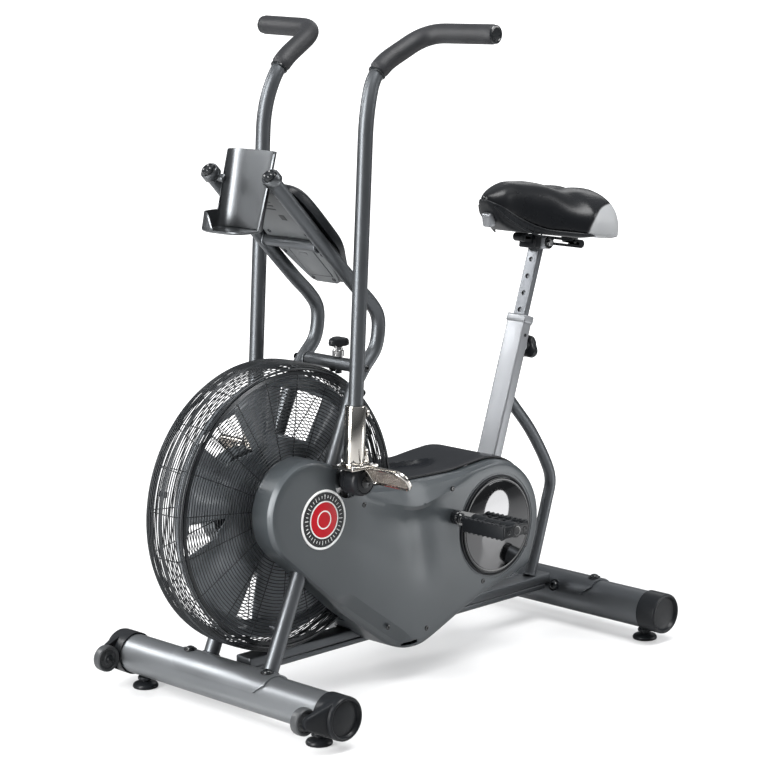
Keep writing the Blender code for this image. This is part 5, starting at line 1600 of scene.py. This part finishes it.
def saddle_rail():
    bm = in_saddle(prism(capsule((-0.1305, 0.0), (0.0455, 0.0035), 0.0088, 12), -0.0149, 0.0149, 0.0028, 3))
    obj = piece("rail_bar", bm, BLACK, "saddle", ("saddle_rail",), sharp=0)
    slot_shape = in_saddle(prism(capsule((-0.118, 0.0003), (-0.042, 0.0018), 0.0031, 8), -0.02, 0.02))
    front_slot = in_saddle(prism(capsule((0.034, 0.0033), (0.044, 0.0035), 0.0028, 8), -0.02, 0.02))
    carve(obj, [cutter("slot", slot_shape), cutter("slot2", front_slot)])
    smooth_by_angle(obj, 35)
    legs = [in_saddle(block((0.016, 0.024, 0.0128), (0.04, 0, 0.0182), None, 0.003, 2)),
            in_saddle(block((0.022, 0.03, 0.017), (-0.106, 0, 0.0135), None, 0.003, 2)),
            in_saddle(lathe(rounded_rod(0.0042, -0.0172, 0.0172, 0.001), (-0.106, 0, 0.004), Y, 20))]
    piece("rail_feet", merge(*legs), GLOSS_BLACK, "saddle")


seat_post()
seat_pin()
seat_clamp()
saddle_rail()


# ---------------------------------------------------------------- saddle

def saddle_size(t):
    """(forward, half width, lower edge, crown) from nose (0) to rear (1)."""
    forward = 0.172 - 0.311 * t
    flare = min(1.0, max(0.0, (t - 0.12) / 0.55))
    half = 0.024 + 0.098 * flare ** 1.5 + 0.012 * min(1.0, t / 0.12)
    half *= math.sqrt(max(0.03, 1 - max(0.0, (0.14 - t) / 0.14) ** 2.2))
    if t > 0.84:
        half *= max(0.3, 1 - ((t - 0.84) / 0.165) ** 2.6 * 0.36)
    low = 0.0745 - 0.0545 * ease(t, -0.12, 0.46)
    top = 0.0765 + 0.0365 * ease(t, -0.1, 0.24) - 0.0075 * math.exp(-((t - 0.6) / 0.1) ** 2)
    top -= 0.036 * max(0.0, (t - 0.84) / 0.16) ** 2.2
    return forward, half, low, top


def saddle_section(t, shrink, count=44):
    """Closed (y, z) loop: crowned top with a shallow centre channel towards the rear, hollow underside."""
    forward, half, low, top = saddle_size(t)
    half, top, low = half - shrink, top - shrink, low + shrink * 0.5
    loop = []
    for k in range(count):
        a = 2 * math.pi * k / count
        c, s = math.cos(a), math.sin(a)
        y = half * math.copysign(abs(c) ** 0.72, c)
        if s >= 0:
            z = low + (top - low) * abs(s) ** 0.82
            z -= 0.006 * ease(t, 0.5, 0.75) * math.exp(-(y / 0.017) ** 2)
        else:
            z = low - 0.004 * abs(s) ** 0.6 + 0.01 * (1 - min(1.0, abs(y) / half) ** 3) * ease(t, 0.1, 0.3)
        loop.append((y, z))
    return forward, loop


def saddle_body(shrink):
    bm = bmesh.new()
    rings = []
    for k in range(49):
        t = 0.5 - 0.5 * math.cos(math.pi * k / 48)
        t = 0.008 + 0.984 * t
        forward, loop = saddle_section(t, shrink)
        rings.append([bm.verts.new((forward, y, z)) for y, z in loop])
    skin(bm, rings, caps=True)
    bmesh.ops.recalc_face_normals(bm, faces=bm.faces)
    return bm


def spread_out(step, edges, rounds):
    """Averages each point's move with its neighbours' moves, so that a taut cover swells without creases."""
    count = np.bincount(edges.ravel(), minlength=len(step)).astype(float)[:, None]
    for _ in range(rounds):
        near = np.zeros_like(step)
        np.add.at(near, edges[:, 0], step[edges[:, 1]])
        np.add.at(near, edges[:, 1], step[edges[:, 0]])
        step = 0.4 * step + 0.6 * near / count
    return step


def inflate(obj, cap):
    """Blows the closed mesh up like a filled pad, each point moving no further than the cap, and keeps the result."""
    start = np.empty(len(obj.data.vertices) * 3)
    obj.data.vertices.foreach_get("co", start)
    start = start.reshape(-1, 3)
    pad = obj.modifiers.new("pad", "CLOTH")
    pad.settings.use_pressure = True
    pad.settings.uniform_pressure_force = 4.0
    pad.settings.effector_weights.gravity = 0.0
    pad.settings.tension_stiffness = 25.0
    pad.settings.compression_stiffness = 25.0
    pad.settings.bending_stiffness = 2.0
    scene = bpy.context.scene
    for number in range(1, 21):
        scene.frame_set(number)
    made = bpy.data.meshes.new_from_object(obj.evaluated_get(bpy.context.evaluated_depsgraph_get()))
    obj.modifiers.clear()
    moved = np.empty(len(made.vertices) * 3)
    made.vertices.foreach_get("co", moved)
    bpy.data.meshes.remove(made)
    scene.frame_set(1)
    edges = np.empty(len(obj.data.edges) * 2, np.int64)
    obj.data.edges.foreach_get("vertices", edges)
    step = spread_out(moved.reshape(-1, 3) - start, edges.reshape(-1, 2), 60)
    size = np.linalg.norm(step, axis=1)
    obj.data.vertices.foreach_set("co", (start + step * np.minimum(1.0, cap / np.maximum(size, 1e-9))[:, None]).ravel())
    obj.data.update()


def saddle_vinyl():
    """Black vinyl with silver rear corner panels, set by the mesh's own panel attribute, and a sewn groove between."""
    made, tree, shader, coords = new_material("saddle_vinyl")
    mask = tree.nodes.new("ShaderNodeAttribute")
    mask.attribute_name = "panel"
    share = mask.outputs["Fac"]
    patches = spread(tree, noise(tree, coords, 9.0, 4.0), 0.0, 1.0)
    black = blend_colours(tree, patches, (0.0045, 0.005, 0.006), (0.0065, 0.007, 0.008))
    silver = blend_colours(tree, patches, (0.26, 0.266, 0.272), (0.3, 0.306, 0.312))
    grown = blend_colours(tree, spread(tree, share, 0.0, 1.0, 0.485, 0.515), black, silver)
    apart = tree.nodes.new("ShaderNodeMath")
    apart.operation = "SUBTRACT"
    apart.inputs[1].default_value = 0.5
    tree.links.new(share, apart.inputs[0])
    away = tree.nodes.new("ShaderNodeMath")
    away.operation = "ABSOLUTE"
    tree.links.new(apart.outputs[0], away.inputs[0])
    seam = spread(tree, away.outputs[0], 0.0, 1.0, 0.0, 0.045)
    tree.links.new(blend_colours(tree, seam, (0.012, 0.012, 0.013), grown), shader.inputs["Base Color"])
    rough = spread(tree, noise(tree, coords, 24.0, 5.0), 0.25, 0.32)
    tree.links.new(rough, shader.inputs["Roughness"])
    leather = tree.nodes.new("ShaderNodeTexVoronoi")
    leather.inputs["Scale"].default_value = 700.0
    tree.links.new(coords, leather.inputs["Vector"])
    grain = bump(tree, leather.outputs["Distance"], 0.16, 0.0004)
    tree.links.new(bump(tree, seam, 0.8, 0.0012, grain), shader.inputs["Normal"])
    shader.inputs["Specular IOR Level"].default_value = 0.2
    return made


def panel_share(f, y, z):
    """Near 1 inside the silver rear corner panels, near 0 outside, 0.5 on the seam."""
    q = (abs((f + 0.139) / 0.116) ** 2.7 + abs((z - 0.008) / 0.083) ** 2.7) ** (1 / 2.7)
    side = (abs(y) - 0.035) / 0.05
    inside = min(1.0 - q, side)
    return min(1.0, max(0.0, 0.5 + inside * 1.6))


def saddle():
    mesh = bpy.data.meshes.new("seat_pad_cover")
    bm = saddle_body(0.0022)
    bm.to_mesh(mesh)
    bm.free()
    obj = bpy.data.objects.new("seat_pad_cover", mesh)
    bpy.context.scene.collection.objects.link(obj)
    step = obj.modifiers.new("remesh", "REMESH")
    step.mode = "VOXEL"
    step.voxel_size = 0.0043
    step.use_smooth_shade = True
    ease_out = obj.modifiers.new("relax", "SMOOTH")
    ease_out.factor = 0.5
    ease_out.iterations = 6
    graph = bpy.context.evaluated_depsgraph_get()
    made = bpy.data.meshes.new_from_object(obj.evaluated_get(graph))
    obj.modifiers.clear()
    obj.data = made
    bpy.data.meshes.remove(mesh)
    made.name = "seat_pad_cover"
    inflate(obj, 0.0055)
    share = obj.data.attributes.new("panel", "FLOAT", "POINT")
    share.data.foreach_set("value", [panel_share(*v.co) for v in obj.data.vertices])
    for polygon in obj.data.polygons:
        polygon.use_smooth = True
    obj.data.transform(Matrix.Translation(SADDLE_ROOT) @ TILT.to_4x4())
    obj.data.materials.clear()
    obj.data.materials.append(saddle_vinyl())
    finer = obj.modifiers.new("smooth", "SUBSURF")
    finer.levels = 1
    finer.render_levels = 1
    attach(obj, "saddle")
    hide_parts("saddle_pad")


def saddle_pan():
    """Dark moulded pan under the pad, ribbed under the nose, with a pale bumper at the very tip."""
    bm = bmesh.new()
    rings = []
    for k in range(41):
        t = 0.012 + 0.972 * k / 40
        forward, half, low, top = saddle_size(t)
        half = half - 0.0035 - 0.012 * ease(t, 0.6, 0.72)
        deep = 0.003 + 0.026 * ease(t, 0.0, 0.13) * (1 - ease(t, 0.2, 0.48)) + 0.009 * ease(t, 0.2, 0.48)
        deep -= 0.006 * ease(t, 0.6, 0.72)
        ring = []
        for j in range(33):
            a = math.pi * j / 32
            c, up = math.cos(a), math.sin(a)
            y = half * math.copysign(abs(c) ** 0.5, c)
            ring.append(bm.verts.new((forward, y, max(0.0145, low + 0.004 - deep * up ** 0.6))))
        rings.append(ring)
    skin(bm, rings, loop=False)
    bm.faces.new(rings[0])
    obj = piece("saddle_pan_shell", in_saddle(bm), BLACK, "saddle", ("saddle_base",), sharp=0)
    step = obj.modifiers.new("thickness", "SOLIDIFY")
    step.thickness = 0.0026
    step.offset = 0.0
    ribs = []
    for k in range(8):
        t = 0.075 + 0.043 * k
        forward, half, low, top = saddle_size(t)
        tall = 0.016 * ease(t, 0.0, 0.14)
        for side in (1, -1):
            ribs.append(in_saddle(block((0.0034, 0.003, tall), (forward, side * (half - 0.0035), low - 0.4 * tall),
                                        None, 0.001, 1)))
    for side in (1, -1):
        for drop in (0.0, 0.0155):
            path = []
            for k in range(14):
                t = 0.055 + 0.34 * k / 13
                forward, half, low, top = saddle_size(t)
                path.append((forward, side * (half - 0.0028), low + 0.002 - drop * ease(t, 0.0, 0.14)))
            ribs.append(in_saddle(tube(path, 0.0019, 10)))
    piece("saddle_pan_ribs", merge(*ribs), BLACK, "saddle")
    tip = in_saddle(block((0.018, 0.024, 0.029), (0.1455, 0, 0.0325), Matrix.Rotation(0.3, 3, "Y"), 0.005, 4))
    piece("saddle_nose_foot", tip, MAST_PAINT, "saddle")


saddle()
saddle_pan()


# ---------------------------------------------------------------- finishes of the CAD pieces that stay

for name, look in (("crank_bracket", FRAME_GREY), ("crank_bearing_L", STEEL), ("crank_bearing_R", STEEL),
                   ("crank_axle", STEEL), ("drive_pulley", BLACK), ("drive_belt", RUBBER), ("fan_axle", STEEL),
                   ("fan_hub", ROTOR), ("link_rod_L", STEEL), ("link_rod_R", STEEL)):
    clean_node(name, look)


# ---------------------------------------------------------------- camera, floor and light

def camera():
    azimuth, elevation, roll = math.radians(45.37), math.radians(10.84), -0.0095
    back = Vector((math.cos(azimuth) * math.cos(elevation), math.sin(azimuth) * math.cos(elevation),
                   math.sin(elevation)))
    right = Z.cross(back).normalized()
    up = back.cross(right)
    turned_right = math.cos(roll) * right + math.sin(roll) * up
    turned_up = -math.sin(roll) * right + math.cos(roll) * up
    data = bpy.data.cameras.new("view")
    data.lens = 119.53
    data.sensor_width = 36.0
    data.clip_start, data.clip_end = 0.1, 60.0
    obj = bpy.data.objects.new("view", data)
    obj.matrix_world = Matrix.Translation((3.4085, 3.4498, 1.4971)) @ Matrix(
        (turned_right, turned_up, back)).transposed().to_4x4()
    bpy.context.scene.collection.objects.link(obj)
    bpy.context.scene.camera = obj


def floor():
    """White floor: its near part takes shadows and reflections, its far part glows to plain white."""
    mesh = bpy.data.meshes.new("studio_floor")
    size = 60.0
    mesh.from_pydata([(-size, -size, 0), (size, -size, 0), (size, size, 0), (-size, size, 0)], [], [(0, 1, 2, 3)])
    obj = bpy.data.objects.new("studio_floor", mesh)
    bpy.context.scene.collection.objects.link(obj)
    made, tree, shader, coords = new_material("pale_floor")
    away = tree.nodes.new("ShaderNodeVectorMath")
    away.operation = "LENGTH"
    tree.links.new(coords, away.inputs[0])
    glow = spread(tree, away.outputs["Value"], 0.37, 1.3, 0.8, 2.6)
    ray = tree.nodes.new("ShaderNodeLightPath")
    seen = tree.nodes.new("ShaderNodeMath")
    seen.operation = "MULTIPLY"
    tree.links.new(glow, seen.inputs[0])
    tree.links.new(ray.outputs["Is Camera Ray"], seen.inputs[1])
    tree.links.new(seen.outputs[0], shader.inputs["Emission Strength"])
    shader.inputs["Emission Color"].default_value = (1, 1, 1, 1)
    shader.inputs["Base Color"].default_value = (0.58, 0.58, 0.58, 1)
    shader.inputs["Roughness"].default_value = 0.16
    shader.inputs["Specular IOR Level"].default_value = 0.5
    mesh.materials.append(made)


def soft_light(name, where, aim, size, power, colour=(1, 1, 1)):
    data = bpy.data.lights.new(name, "AREA")
    data.shape = "RECTANGLE"
    data.size, data.size_y = size
    data.energy = power
    data.color = colour
    obj = bpy.data.objects.new(name, data)
    obj.visible_camera = False
    where, aim = Vector(where), Vector(aim)
    obj.matrix_world = Matrix.Translation(where) @ (where - aim).to_track_quat("Z", "Y").to_matrix().to_4x4()
    bpy.context.scene.collection.objects.link(obj)
    return obj


def studio():
    world = bpy.data.worlds.new("studio")
    bpy.context.scene.world = world
    world.use_nodes = True
    tree = world.node_tree
    ground = tree.nodes["Background"]
    ground.inputs["Color"].default_value = (1.0, 1.0, 1.0, 1.0)
    ground.inputs["Strength"].default_value = 1.0
    dim = tree.nodes.new("ShaderNodeBackground")
    dim.inputs["Color"].default_value = (0.93, 0.96, 1.0, 1.0)
    coords = tree.nodes.new("ShaderNodeTexCoord")
    split = tree.nodes.new("ShaderNodeSeparateXYZ")
    tree.links.new(coords.outputs["Generated"], split.inputs[0])
    tree.links.new(spread(tree, split.outputs["Z"], 0.10, 0.75, 0.05, 1.0), dim.inputs["Strength"])
    path = tree.nodes.new("ShaderNodeLightPath")
    mix = tree.nodes.new("ShaderNodeMixShader")
    tree.links.new(path.outputs["Is Camera Ray"], mix.inputs["Fac"])
    tree.links.new(dim.outputs[0], mix.inputs[1])
    tree.links.new(ground.outputs[0], mix.inputs[2])
    tree.links.new(mix.outputs[0], tree.nodes["World Output"].inputs["Surface"])
    soft_light("key", (3.0, -0.3, 1.5), (0, 0, 0.6), (1.1, 2.8), 190)
    soft_light("front_high", (1.7, -2.7, 2.3), (0, 0, 0.3), (1.1, 0.9), 66)
    soft_light("overhead", (-0.2, 1.3, 3.5), (0, 0, 0.4), (1.6, 1.6), 135)
    soft_light("left_wall", (-2.4, 2.2, 1.9), (0, 0, 0.4), (1.2, 1.2), 32)
    soft_light("rear_rim", (-3.0, -1.6, 2.6), (0, 0, 0.6), (1.4, 1.4), 10)
    card = soft_light("disc_card", (-1.0, 0.92, 0.16), (-0.1975, 0.11, 0.315), (0.44, 0.42), 2.6)
    card.data.shape = "ELLIPSE"
    scene = bpy.context.scene
    scene.view_settings.view_transform = "Standard"
    scene.view_settings.look = "None"


camera()
floor()
studio()
